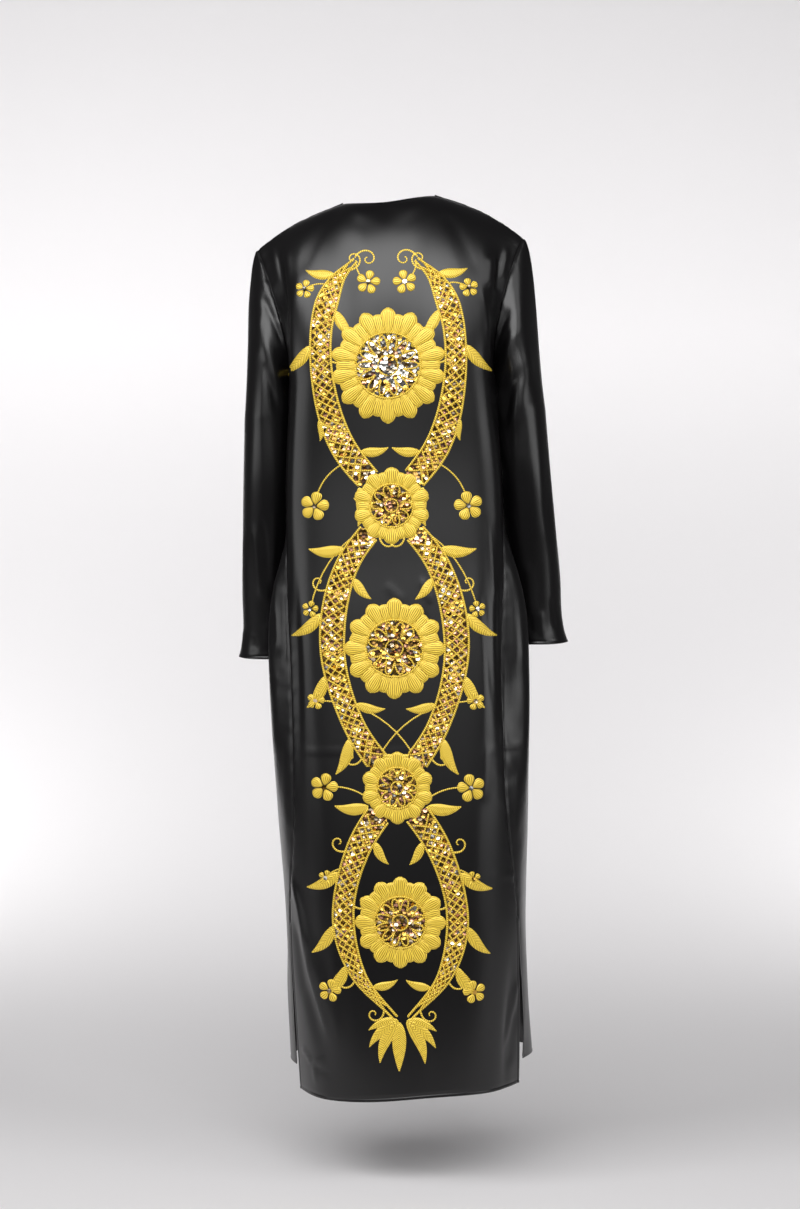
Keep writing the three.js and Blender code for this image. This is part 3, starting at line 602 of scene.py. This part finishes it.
# duchess satin: heavy warp-faced silk or polyester, woven and calendered, soft mirror-like sheen
satin, shader = material("black duchess satin", Base_Color=colour("#070607"), Roughness=0.31, IOR=1.5)
cloth_place = add(satin, "ShaderNodeUVMap", {"uv_map": "cloth"})
floats = add(satin, "ShaderNodeMapping", inputs={"Scale": (900, 60, 1)}, Vector=cloth_place.outputs["UV"])
weave = add(satin, "ShaderNodeTexNoise", inputs={"Scale": 1, "Detail": 2}, Vector=floats.outputs[0])
faint = {"Strength": 0.06, "Distance": 0.0002}
weave_bump = add(satin, "ShaderNodeBump", inputs=faint, Height=weave.outputs[0])
link(satin, weave_bump.outputs[0], shader.inputs["Normal"])
cloudy = add(satin, "ShaderNodeMapping", inputs={"Scale": (9, 4, 1)}, Vector=cloth_place.outputs["UV"])
clouds = add(satin, "ShaderNodeTexNoise", inputs={"Scale": 1, "Detail": 1}, Vector=cloudy.outputs[0])
gloss = add(satin, "ShaderNodeMapRange", inputs={"To Min": 0.28, "To Max": 0.34}, Value=clouds.outputs[0])
link(satin, gloss.outputs[0], shader.inputs["Roughness"])
print("satin ready")

# %% [markdown]
# ## The five cut panels
# The back, two fronts and two sleeves are separate pieces of cloth that meet at the seams. Each is laid out as
# a sheet of small faces and given its thickness with the Solidify tool, so that it has an inside, an outside
# and turned edges like real satin.

# %% Make the panels
def flat_mesh(name, points, faces, uv):
    """A mesh from points in millimetres, with its own map in metres of cloth."""
    mesh = bpy.data.meshes.new(name)
    mesh.from_pydata((np.asarray(points) * MM).tolist(), [], np.asarray(faces).tolist())
    layer = mesh.uv_layers.new(name="cloth")
    corners = np.zeros(len(mesh.loops), np.int32)
    mesh.loops.foreach_get("vertex_index", corners)
    layer.data.foreach_set("uv", (np.asarray(uv) * MM)[corners].astype(np.float32).ravel())
    mesh.polygons.foreach_set("use_smooth", np.ones(len(mesh.polygons), bool))
    obj = bpy.data.objects.new(name, mesh)
    bpy.context.collection.objects.link(obj)
    return obj


def quads(rows, cols, closed=False):
    r, c = np.meshgrid(np.arange(rows - 1), np.arange(cols if closed else cols - 1), indexing="ij")
    here, right = r * cols + c, r * cols + (c + 1) % cols
    return np.stack([here, here + cols, right + cols, right], axis=-1).reshape(-1, 4)


def only(obj):
    """Selects one piece alone and makes it the active one."""
    bpy.ops.object.select_all(action="DESELECT")
    obj.select_set(True)
    bpy.context.view_layer.objects.active = obj


# name of each piece, then the width and length in metres of the rectangle that it is cut from
CUTS = {
    "back": ("back_panel", 0.49, 1.43),
    "front_left": ("left_front_panel", 0.33, 1.41),
    "front_right": ("right_front_panel", 0.33, 1.41),
    "sleeve_left": ("left_sleeve", 0.49, 0.66),
    "sleeve_right": ("right_sleeve", 0.49, 0.66),
}
panels = {}
for name, (title, cut_width, cut_length) in CUTS.items():
    points, down, across = dressed(name)
    rows, cols = down.shape
    faces = quads(rows, cols, is_sleeve(name))
    piece = flat_mesh(title, points.reshape(-1, 3), faces, np.stack([across, -down], axis=-1).reshape(-1, 2))
    only(piece)
    thick = piece.modifiers.new("thickness of the satin", "SOLIDIFY")
    thick.thickness = WALL * MM
    thick.offset = -1
    bpy.ops.object.modifier_apply(modifier=thick.name)
    bpy.ops.object.shade_smooth_by_angle(angle=math.radians(42))
    piece.data.materials.append(satin)
    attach(piece, "root")
    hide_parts(name)
    panels[name] = piece
    print("  widest", round(across.max()), "mm, longest", round(down.max()), "mm")

# %% [markdown]
# ## Where the embroidery lies
# The gold work is stitched through the satin, so it follows every fold of the back. Each motif is drawn flat,
# as a pattern on paper would be, and then laid on the cloth: its height is read from the back panel itself.

# %% Read the surface of the back
MAP_STEP = 3  # mm
MAP_X, MAP_Z = np.arange(-186, 178, MAP_STEP), np.arange(-1389, -9, MAP_STEP)
back_mesh = panels["back"].data
tree = BVHTree.FromPolygons([v.co for v in back_mesh.vertices], [p.vertices for p in back_mesh.polygons])
heights = np.full((len(MAP_Z), len(MAP_X)), np.nan)
for i, z in enumerate(MAP_Z):
    for j, x in enumerate(MAP_X):
        hit = tree.ray_cast(Vector((x * MM, 1, z * MM)), Vector((0, -1, 0)))[0]
        if hit:
            heights[i, j] = hit.y / MM
heights = np.where(np.isnan(heights), np.nanmin(heights), heights)
slope_z, slope_x = np.gradient(heights, MAP_STEP)
print("back read at", heights.size, "places")


def read(layer, x, z):
    """Value of a map between its places."""
    i = np.clip((z - MAP_Z[0]) / MAP_STEP, 0, len(MAP_Z) - 1.001)
    j = np.clip((x - MAP_X[0]) / MAP_STEP, 0, len(MAP_X) - 1.001)
    a, b = i.astype(int), j.astype(int)
    u, v = i - a, j - b
    top = layer[a, b] * (1 - v) + layer[a, b + 1] * v
    low = layer[a + 1, b] * (1 - v) + layer[a + 1, b + 1] * v
    return top * (1 - u) + low * u


def ground(x, z):
    """Points of the cloth and its outward direction there."""
    n = np.stack([-read(slope_x, x, z), np.ones_like(x), -read(slope_z, x, z)], axis=-1)
    return np.stack([x, read(heights, x, z), z], axis=-1), n / np.linalg.norm(n, axis=-1, keepdims=True)


BLOSSOM_PETALS = (14, 10, 12, 10, 12)
blossoms = []
for k, petals in enumerate(BLOSSOM_PETALS, start=1):
    low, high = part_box(f"blossom_{k}")
    middle, size = (low + high) / 2 / MM, (high - low) / MM
    blossoms.append((middle.x, middle.z, max(size.x, size.z) / 2, petals))
    print(f"blossom {k} at", round(middle.x), round(middle.z), "radius", round(blossoms[-1][2]))
centre_x = np.polynomial.Polynomial.fit([b[1] for b in blossoms], [b[0] for b in blossoms], 1)

# %% [markdown]
# ## Gold thread and sequins
# The flowers, leaves and stems are satin stitch: metallic thread laid side by side over a raised ground. The
# thread is 0.4 mm thick, drawn here as rows about 3 mm wide so that the direction of the stitches can be seen
# from afar. The sequins are cupped discs of metal-coated film, 7 mm wide, in antique gold, bronze, champagne,
# rose gold and silver.

# %% Gold thread and sequin finishes
# metallic embroidery thread: gold film wound on a polyester core, silky, with a painted highlight along each
# row
thread, shader = material("gold metallic thread", Roughness=0.4, Metallic=0.2)
thread_place = add(thread, "ShaderNodeUVMap", {"uv_map": "cloth"})
rows_of_stitches = add(
    thread, "ShaderNodeTexWave", {"bands_direction": "X"}, {"Scale": 100},
    Vector=thread_place.outputs["UV"])
stretched = add(thread, "ShaderNodeMapping", inputs={"Scale": (420, 60, 1)}, Vector=thread_place.outputs["UV"])
streaks = add(thread, "ShaderNodeTexNoise", inputs={"Scale": 1, "Detail": 2}, Vector=stretched.outputs[0])
mixed = add(thread, "ShaderNodeMath", {"operation": "ADD"})
link(thread, rows_of_stitches.outputs["Fac"], mixed.inputs[0])
link(thread, streaks.outputs["Fac"], mixed.inputs[1])
# the ramp paints shade into the grooves between rows of stitches and a highlight along the rows; the noise adds
# streaks of random tone
gold_tones_and_painted_groove_shade = add(thread, "ShaderNodeValToRGB")
gold_tones_and_painted_groove_shade.color_ramp.elements[0].position = 0.28
gold_tones_and_painted_groove_shade.color_ramp.elements[0].color = colour("#a9821c")
gold_tones_and_painted_groove_shade.color_ramp.elements[1].position = 0.66
gold_tones_and_painted_groove_shade.color_ramp.elements[1].color = colour("#ffe052")
halved = add(thread, "ShaderNodeMath", {"operation": "MULTIPLY"})
halved.inputs[1].default_value = 0.5
link(thread, mixed.outputs[0], halved.inputs[0])
link(thread, halved.outputs[0], gold_tones_and_painted_groove_shade.inputs["Fac"])
link(thread, gold_tones_and_painted_groove_shade.outputs["Color"], shader.inputs["Base Color"])
raised = {"Strength": 0.5, "Distance": 0.0006}
stitch_bump = add(thread, "ShaderNodeBump", inputs=raised, Height=halved.outputs[0])
link(thread, stitch_bump.outputs[0], shader.inputs["Normal"])

# paillette sequins: metallised film stamped into shallow cups, bright flashes that change with the tilt
sequin_film, shader = material("gold and silver sequins", Roughness=0.2, Metallic=1.0)
tone = add(sequin_film, "ShaderNodeAttribute", {"attribute_name": "tone"})
link(sequin_film, tone.outputs["Color"], shader.inputs["Base Color"])
SEQUIN_TONES = {
    "antique gold": "#c99f4a", "bronze": "#94703c", "champagne": "#ead4b2",
    "rose gold": "#c99276", "silver": "#ece9e2",
}
print("thread and sequins ready")

# %% [markdown]
# ## Patches of stitching
# Every thread motif is one raised strip: a stem, a petal or a leaf is a line with a width that swells and
# tapers and a rounded top. They could be sculpted one by one, but a single helper keeps them all alike in
# height and edge.

# %% Helpers that draw and lay the stitching
EDGE_SINK = 0.5  # the edge of each patch goes this far into the cloth


def strip(line, half, lift, crown, columns=5, stitch="across", groove=0.0):
    """A raised strip along a line of x and z, with its half width at each point and the way of its stitches."""
    line, half = np.asarray(line, float), np.broadcast_to(half, len(line)).astype(float)
    tangent = np.gradient(line, axis=0)
    tangent /= np.maximum(np.linalg.norm(tangent, axis=1, keepdims=True), 1e-9)
    side = np.stack([-tangent[:, 1], tangent[:, 0]], axis=1)
    t = np.linspace(-1, 1, columns)
    spots = line[:, None] + side[:, None] * (half[:, None] * t)[..., None]
    slim = np.clip(half / max(half.max(), 1e-6), 0, 1) ** 0.5
    dent = groove * np.exp(-((t / 0.2) ** 2))[None] * slim[:, None]
    top = lift + crown * (1 - t**2)[None] * slim[:, None] - dent
    top[:, [0, -1]] = -EDGE_SINK
    top[[0, -1]] = -EDGE_SINK
    along = np.concatenate([[0], np.cumsum(np.linalg.norm(np.diff(line, axis=0), axis=1))])[:, None] + 0 * t
    wide = t[None] * half[:, None]
    if stitch == "across":
        uv = np.stack([along + 0.5 * wide, wide], axis=-1)
    elif stitch == "along":
        uv = np.stack([t[None] * half.max() + 0 * along, along], axis=-1)
    else:
        uv = np.stack([along - 0.9 * np.abs(wide), wide], axis=-1)
    points = np.concatenate([spots, top[..., None]], axis=-1).reshape(-1, 3)
    faces = quads(len(line), columns)
    a, b, c = points[faces[:, 0]], points[faces[:, 1]], points[faces[:, 2]]
    turn = (b[:, 1] - a[:, 1]) * (c[:, 0] - a[:, 0]) - (b[:, 0] - a[:, 0]) * (c[:, 1] - a[:, 1])
    return points, faces if turn.sum() > 0 else faces[:, ::-1], uv.reshape(-1, 2)


def bowed(start, end, bow, count):
    """A line from start to end that bows sideways by a share of its length."""
    start, end = np.asarray(start, float), np.asarray(end, float)
    side = np.array([-(end - start)[1], (end - start)[0]]) * bow
    t = np.linspace(0, 1, count)[:, None]
    return start + (end - start) * t + side * 4 * t * (1 - t) / 2


def leaf(start, angle, length, width, bow=0.25, lift=0.6):
    end = np.add(start, [length * math.cos(angle), length * math.sin(angle)])
    t = np.linspace(0, 1, 13)
    half = width / 2 * np.maximum(np.sin(math.pi * t**0.8) ** 0.85 * (1 - 0.25 * t), 0.03)
    return strip(bowed(start, end, bow, 13), half, lift, 1.5, 7, "chevron", groove=0.9)


def petal(middle, angle, near, far, width, lift, bow=0.0):
    way = np.array([math.cos(angle), math.sin(angle)])
    t = np.linspace(0, 1, 11)
    half = width / 2 * np.maximum(np.sin(math.pi * np.clip(t, 0, 1) ** 1.5 * 0.97 + 0.06) ** 0.6, 0.05)
    return strip(bowed(middle + way * near, middle + way * far, bow, 11), half, lift, 1.6, 7, "along")


def curl(start, angle, size, turns, way, count=34):
    """A tendril that winds up, from its start in a first direction."""
    t = np.linspace(0, 1, count)
    heading = angle + way * turns * 2 * math.pi * t**1.25
    steps = size * (1 - 0.82 * t)[:, None] * np.stack([np.cos(heading), np.sin(heading)], axis=1) / count * 4
    return np.concatenate([[start], start + np.cumsum(steps[:-1], axis=0)])


def stitched(name, patches, finish=None):
    """Lays flat patches on the back and joins them into one piece."""
    points, faces, uv, count = [], [], [], 0
    for p, f, m in patches:
        spot, out = ground(p[:, 0], p[:, 1])
        points.append(spot + out * p[:, 2:])
        faces.append(f + count)
        uv.append(m)
        count += len(p)
    piece = flat_mesh(name, np.concatenate(points), np.concatenate(faces), np.concatenate(uv))
    piece.data.materials.append(finish or thread)
    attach(piece, "root")
    print(name, len(piece.data.polygons), "faces")
    return piece


# %% [markdown]
# ## The two vines
# Two broad vines wind down the back and cross under the second and the fourth blossom. Each is a band of
# sequins between two rails of thread, with threads crossed over it as a trellis. The lines stop where a blossom
# covers them.

# %% The two vines
# x from the centre line and z of the left vine; the right one mirrors it
VINE = np.array([
    (46, -104), (76, -136), (99, -196), (101, -290), (74, -388), (0, -482), (-72, -578), (-95, -700),
    (-64, -818), (0, -912), (62, -1006), (87, -1110), (66, -1196), (10, -1262),
], float)
VINE_HALF, VINE_TAPER = 18.5, (0.07, 0.14)  # mm, and the shares of its length over which it tapers


def through_long(points, count):
    """A smooth line through many points, divided evenly."""
    p = np.insert(np.asarray(points, float), 1, 0, axis=1)
    parts = [through(p, i, i + 1, np.linspace(0, 1, 40)[:-1]) for i in range(len(p) - 1)]
    return divide(np.concatenate([*parts, p[-1:]]), np.linspace(0, 1, count))[:, [0, 2]]


half_way = np.linspace(0, 1, 420)
vine_line = through_long(VINE, len(half_way))
swell = np.minimum(smooth(half_way / VINE_TAPER[0]), smooth((1 - half_way) / VINE_TAPER[1]))
vine_half = 3.5 + (VINE_HALF - 3.5) * swell * (0.9 + 0.1 * np.cos(half_way * 26))
vine_length = np.linalg.norm(np.diff(vine_line, axis=0), axis=1).sum()
print("each vine is", round(vine_length), "mm long")


def placed(line, side):
    """Moves a line from the paper pattern to the back: mirrored or not, and along the centre line."""
    line = np.asarray(line, float)
    return np.stack([side * line[:, 0] + centre_x(line[:, 1]), line[:, 1]], axis=1)


def beside(line, offset):
    tangent = np.gradient(line, axis=0)
    tangent /= np.linalg.norm(tangent, axis=1, keepdims=True)
    return line + np.stack([-tangent[:, 1], tangent[:, 0]], axis=1) * np.asarray(offset)[..., None]


COVER = 0.93  # share of a blossom's radius under which its petals hide the ends of the vines


def uncovered(points):
    """Which points lie clear of the two blossoms that cover the crossings."""
    clear = np.ones(len(points), bool)
    for x, z, radius, _ in (blossoms[1], blossoms[3]):
        clear &= np.hypot(points[:, 0] - x, points[:, 1] - z) > radius * COVER
    return clear


RAIL = 2.1  # half width of the thread line along each side of a vine
TRELLIS_STEP, TRELLIS_RUN = 12.5, 30  # mm between its threads, and how far each runs along the vine
vine_patches = []
for side in (1, -1):
    line = placed(vine_line, side)
    places = np.linspace(0, vine_length, len(line))
    for edge in (1, -1):
        rim = beside(line, edge * vine_half)
        parts = np.split(rim, np.flatnonzero(np.diff(uncovered(rim))) + 1)
        vine_patches += [strip(part, RAIL, 0.5, 1.4, 5) for part in parts if uncovered(part)[0]]
        for first in np.arange(14, vine_length - TRELLIS_RUN - 10, TRELLIS_STEP):
            share = np.linspace(0, 1, 9)
            at = first + TRELLIS_RUN * share
            across = edge * (2 * share - 1) * (vine_half - 1)[np.searchsorted(places, at)]
            middle = np.stack([np.interp(at, places, line[:, k]) for k in (0, 1)], axis=1)
            crossing = beside(middle, across)
            if uncovered(crossing).all():
                vine_patches.append(strip(crossing, 1.7, 2.6, 0.9, 5))
stitched("vine_outlines", vine_patches)

# %% Leaves, tendrils and small flowers
LEAVES = [  # share of the vine, side of it, angle from its direction in degrees, length, width
    (0.03, 1, 62, 46, 19), (0.07, -1, 52, 50, 20), (0.115, 1, 46, 58, 22), (0.2, 1, 14, 34, 14),
    (0.255, -1, 62, 44, 18), (0.285, 1, 44, 62, 24), (0.335, -1, 66, 40, 18), (0.4, -1, 56, 56, 22),
    (0.425, 1, 60, 42, 18), (0.475, -1, 46, 60, 22), (0.545, -1, 42, 58, 22), (0.585, 1, 60, 46, 18),
    (0.62, -1, 50, 60, 22), (0.665, 1, 64, 42, 18), (0.735, 1, 54, 54, 22), (0.765, -1, 60, 40, 17),
    (0.815, 1, 46, 58, 22), (0.875, 1, 42, 56, 21), (0.92, 1, 54, 52, 20), (0.955, -1, 66, 40, 16),
]
TENDRILS = [  # share of the vine, side of it, angle from its direction in degrees, size, turns
    (0.0, 1, 170, 30, 1.25), (0.015, -1, 150, 26, 1.2), (0.135, -1, 60, 24, 1.2), (0.31, 1, 70, 24, 1.2),
    (0.365, 1, 50, 22, 1.1), (0.45, -1, 60, 22, 1.1), (0.515, 1, 66, 24, 1.2), (0.645, -1, 70, 24, 1.2),
    (0.7, -1, 56, 20, 1.1), (0.79, 1, 60, 22, 1.1), (0.85, -1, 64, 22, 1.2), (0.94, 1, 60, 24, 1.2),
    (0.985, 1, 50, 24, 1.2),
]
FLOWERS = [  # x, z, radius
    (118, -482, 23), (112, -912, 22), (28, -140, 19), (110, -1222, 18), (128, -640, 13), (122, -780, 14),
    (126, -148, 15), (112, -1050, 12),
]
leaf_patches = []
for side in (1, -1):
    for share, edge, angle, length, width in LEAVES:
        i = min(int(share * (len(vine_line) - 1)), len(vine_line) - 5)
        ahead = vine_line[i + 3] - vine_line[max(i - 3, 0)]
        heading = math.atan2(ahead[1], ahead[0]) + edge * math.radians(angle)
        start = beside(vine_line, edge * (vine_half + 1))[i]
        end = start + length * np.array([math.cos(heading), math.sin(heading)])
        a, b = placed([start, end], side)
        bow = -0.22 * edge * side
        leaf_patches.append(leaf(a, math.atan2(b[1] - a[1], b[0] - a[0]), length, width, bow))
    for share, edge, angle, size, turns in TENDRILS:
        i = min(int(share * (len(vine_line) - 1)), len(vine_line) - 5)
        ahead = vine_line[i + 3] - vine_line[max(i - 3, 0)]
        heading = math.atan2(ahead[1], ahead[0]) + edge * math.radians(angle)
        start = beside(vine_line, edge * vine_half)[i]
        line = placed(curl(start, heading, size, turns, edge), side)
        leaf_patches.append(strip(line, np.linspace(1.9, 1.2, len(line)), 0.5, 1.1, 3))
    for x, z, radius in FLOWERS:
        middle = placed([(x, z)], side)[0]
        near = vine_line[np.argmin(np.linalg.norm(vine_line - (x, z + 26), axis=1))]
        stem = bowed(*placed([near, (x, z)], side), 0.3 * side, 12)
        leaf_patches.append(strip(stem, 1.5, 0.4, 1.1, 3))
        for k in range(5):
            angle = math.radians(90 + 72 * k + side * 12)
            leaf_patches.append(petal(middle, angle, 3, radius, radius * 0.78, 0.6))
for angle, length, width in [(-90, 78, 26), (-66, 72, 22), (-42, 62, 20), (-18, 50, 17)]:
    for side in (1, -1) if angle != -90 else (1,):
        start = placed([(side * 5, -1266)], 1)[0]
        turned = math.radians(angle if side == 1 else 180 - angle)
        leaf_patches.append(leaf(start, turned, length, width, 0.2 * side if angle != -90 else 0))
stitched("leaves_tendrils_and_small_flowers", leaf_patches)

# %% The five large blossoms
for k, (x, z, radius, petals) in enumerate(blossoms, start=1):
    middle = np.array([x, z])
    patches = []
    step = 2 * math.pi / petals
    for i in range(petals):
        angle = math.pi / 2 + i * step
        patches.append(
            petal(middle, angle + step / 2, radius * 0.5, radius * 0.9, radius * 0.86 * step * 0.92, 0.5)
        )
        patches.append(petal(middle, angle, radius * 0.5, radius, radius * 0.8 * step * 0.86, 1.3))
    around = np.linspace(0, 2 * math.pi, 61)[:, None]
    ring = np.concatenate([np.cos(around), np.sin(around)], axis=1)
    patches.append(strip(middle + ring * radius * 0.56, 2.2, 1.6, 1.6, 5))
    patches.append(strip(middle + ring * radius * 0.17, 1.8, 1.6, 1.6, 5))
    for i in range(petals):  # an inner ring of petals drawn in outline over the sequins
        angle = math.pi / 2 + (i + 0.5) * step
        t = np.linspace(-1, 1, 13)
        reach = radius * (0.19 + 0.33 * (1 - t**2) ** 0.7)
        turned = angle + t * step / 2
        arc = middle + np.stack([np.cos(turned), np.sin(turned)], axis=1) * reach[:, None]
        patches.append(strip(arc, 1.7, 2.8, 1.0, 5))
    blossom = stitched(f"blossom_{k}_petals", patches)
    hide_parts(f"blossom_{k}")

# %% [markdown]
# ## Sequins
# One sequin is modelled as a shallow cup with eight sides, then sewn on many times. The machine lays them in
# close rows, and no two lie quite flat, which is why they sparkle. Each group is one piece with a tone for
# every sequin.

# %% One sequin, and the groups of them
SEQUIN_WIDTH, SEQUIN_STEP = 7.0, 6.3
bpy.ops.object.select_all(action="DESELECT")
bpy.ops.mesh.primitive_cone_add(
    vertices=8, radius1=SEQUIN_WIDTH / 2 * MM, radius2=0, depth=1.1 * MM, end_fill_type="TRIFAN",
    rotation=(math.pi, 0, 0))
bpy.ops.object.transform_apply(location=False, rotation=True, scale=False)
sequin = bpy.context.active_object
cup = np.array([v.co for v in sequin.data.vertices]) / MM
cup[(np.hypot(cup[:, 0], cup[:, 1]) < 0.01) & (cup[:, 2] > 0), 2] -= 0.45  # the middle of the face is sunk
cup_faces = [list(p.vertices) for p in sequin.data.polygons]
bpy.data.objects.remove(sequin)
rng = np.random.default_rng(7)


def sewn_on(name, spots, lift, shares):
    """Sequins at places of x and z, each with a small tilt and its own tone."""
    spots = np.asarray(spots, float)
    place, out = ground(spots[:, 0], spots[:, 1])
    n = out + rng.normal(0, 0.24, out.shape)
    n /= np.linalg.norm(n, axis=1, keepdims=True)
    u = np.cross(n, rng.normal(0, 1, out.shape))
    u /= np.linalg.norm(u, axis=1, keepdims=True)
    v = np.cross(n, u)
    middle = place + out * (np.broadcast_to(lift, len(spots)) + rng.uniform(0, 0.4, len(spots)))[:, None]
    disc = cup[None, :, :1] * u[:, None] + cup[None, :, 1:2] * v[:, None]
    points = middle[:, None] + disc + cup[None, :, 2:] * n[:, None]
    faces = [[i * len(cup) + f for f in face] for i in range(len(spots)) for face in cup_faces]
    mesh = bpy.data.meshes.new(name)
    mesh.from_pydata((points.reshape(-1, 3) * MM).tolist(), [], faces)
    tones = np.array([colour(c) for c in SEQUIN_TONES.values()])
    picked = tones[rng.choice(len(tones), len(spots), p=shares)]
    layer = mesh.color_attributes.new(name="tone", type="FLOAT_COLOR", domain="POINT")
    layer.data.foreach_set("color", np.repeat(picked, len(cup), axis=0).astype(np.float32).ravel())
    piece = bpy.data.objects.new(name, mesh)
    bpy.context.collection.objects.link(piece)
    mesh.materials.append(sequin_film)
    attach(piece, "root")
    print(name, len(spots), "sequins")


GOLD_MIX = (0.34, 0.24, 0.18, 0.22, 0.02)
PALE_MIX = (0.16, 0.08, 0.3, 0.08, 0.38)
for side, title in ((1, "left"), (-1, "right")):
    line = placed(vine_line, side)
    spots = []
    for row in range(int(vine_length / (SEQUIN_STEP * 0.86))):
        i = min(row * SEQUIN_STEP * 0.86 / vine_length, 1) * (len(line) - 1)
        a = min(int(i), len(line) - 2)
        spot = line[a] + (line[a + 1] - line[a]) * (i - a)
        ahead = line[min(a + 3, len(line) - 1)] - line[max(a - 3, 0)]
        across = np.array([-ahead[1], ahead[0]]) / np.linalg.norm(ahead)
        room = vine_half[a] - RAIL - SEQUIN_WIDTH * 0.42
        if room < 0.5:
            continue
        count = int(2 * room / SEQUIN_STEP) + 1 + row % 2
        spots += [spot + across * s for s in (np.linspace(-room, room, count) if count > 1 else [0])]
    spots = np.array(spots)
    sewn_on(f"sequins_of_the_{title}_vine", spots[uncovered(spots)], 1.0, GOLD_MIX)
for k, (x, z, radius, petals) in enumerate(blossoms, start=1):
    golden = math.pi * (3 - math.sqrt(5))
    count = int((radius * 0.52 / (SEQUIN_STEP * 0.53)) ** 2)
    index = np.arange(count)
    reach = SEQUIN_STEP * 0.53 * np.sqrt(index + 0.5)
    spots = np.stack([x + reach * np.cos(index * golden), z + reach * np.sin(index * golden)], axis=1)
    sewn_on(f"sequins_of_blossom_{k}", spots, 1.5, PALE_MIX if k == 1 else GOLD_MIX)
hearts = [placed([(x, z)], side)[0] for side in (1, -1) for x, z, radius in FLOWERS]
sewn_on("sequins_of_the_small_flowers", hearts, 2.2, PALE_MIX)

# %% [markdown]
# ## Studio
# A pale seamless studio. Satin shows what it mirrors, so an arc of large soft boxes above the camera lays the
# broad sheen over the shoulders, and a lower arc of weaker ones does so down the skirt. The paper behind has
# lights of its own that point away from the coat, so that its sides stay dark.

# %% Floor, backdrop, lights and camera
def spread(profile, half_width):
    """A curved sheet swept across the picture: floor and backdrop in one."""
    rows = [[(x, y, z) for x in np.linspace(-half_width, half_width, 3)] for y, z in profile]
    points = np.array(rows).reshape(-1, 3)
    return flat_mesh("studio_floor_and_backdrop", points / MM, quads(len(profile), 3)[:, ::-1], points[:, :2])


FLOOR_Z = -1.53
WALL_Y, SWEEP_Y, SWEEP_HEIGHT = -5.8, -1.2, 2.0  # metres; the paper rises in one long curve from floor to wall
FLOOR_Y, WALL_TOP, HALF_WIDTH = 0.8, 3.6, 2.5  # near end of the floor, top of the wall, half the paper's width
profile = [(FLOOR_Y, FLOOR_Z), (SWEEP_Y, FLOOR_Z)]
for turn in np.linspace(0.08, math.pi / 2, 16):
    along = SWEEP_Y + (WALL_Y - SWEEP_Y) * math.sin(turn)
    profile.append((along, FLOOR_Z + SWEEP_HEIGHT * (1 - math.cos(turn))))
profile.append((WALL_Y, WALL_TOP))
backdrop = spread(profile, HALF_WIDTH)
paper, shader = material("matt white studio paper", Base_Color=colour("#eceaeb"), Roughness=0.9)
backdrop.data.materials.append(paper)


def soft_light(name, place, target, size, power, tint="#ffffff"):
    light = bpy.data.lights.new(name, "AREA")
    light.shape = "RECTANGLE"
    light.size, light.size_y = size
    light.energy = power
    light.color = colour(tint)[:3]
    lamp = bpy.data.objects.new(name, light)
    lamp.location = place
    lamp.rotation_euler = (Vector(target) - Vector(place)).to_track_quat("-Z", "Y").to_euler()
    bpy.context.collection.objects.link(lamp)
    return lamp


# an arc of soft boxes: bright ones above the coat's shoulders, weaker ones level with its waist
soft_light("middle soft box", (0.1, 3.35, 1.65), (0, 0.1, -0.2), (3.4, 2.2), 126)
soft_light("left soft box", (2.6, 2.3, 2.1), (0, 0.1, -0.2), (2.4, 1.8), 68)
soft_light("right soft box", (-2.6, 2.3, 1.9), (0, 0.1, -0.2), (2.0, 1.8), 26)
soft_light("middle fill light", (0, 4.2, -0.25), (0, 0.1, -0.3), (4.6, 0.8), 10)
soft_light("left fill light", (3.7, 1.7, -0.35), (0, 0.1, -0.4), (3.2, 0.8), 23)
soft_light("right fill light", (-3.5, 2.0, -0.6), (0, 0.1, -0.6), (2.8, 0.9), 27)
# two more light the paper behind the coat and point away from it
soft_light("left backdrop light", (2.7, -2.3, 0.05), (0.3, -5.8, -0.8), (0.9, 3.4), 94)
soft_light("right backdrop light", (-2.7, -2.3, 0.05), (-0.3, -5.8, -0.8), (0.9, 3.4), 72)
world = bpy.data.worlds.new("pale studio")
world.use_nodes = True
world.node_tree.nodes["Background"].inputs[0].default_value = colour("#e9e8ea")
world.node_tree.nodes["Background"].inputs[1].default_value = 0.1
bpy.context.scene.world = world

bpy.context.scene.view_settings.view_transform = "Standard"  # keeps the blacks deep and the golds clean

lens = bpy.data.cameras.new("camera")
lens.lens = 68.1
lens.sensor_width = 36
camera = bpy.data.objects.new("camera", lens)
camera.location = (-0.017, 3.6, -0.633)
camera.rotation_euler = (math.radians(90), 0, math.radians(180))
bpy.context.collection.objects.link(camera)
bpy.context.scene.camera = camera
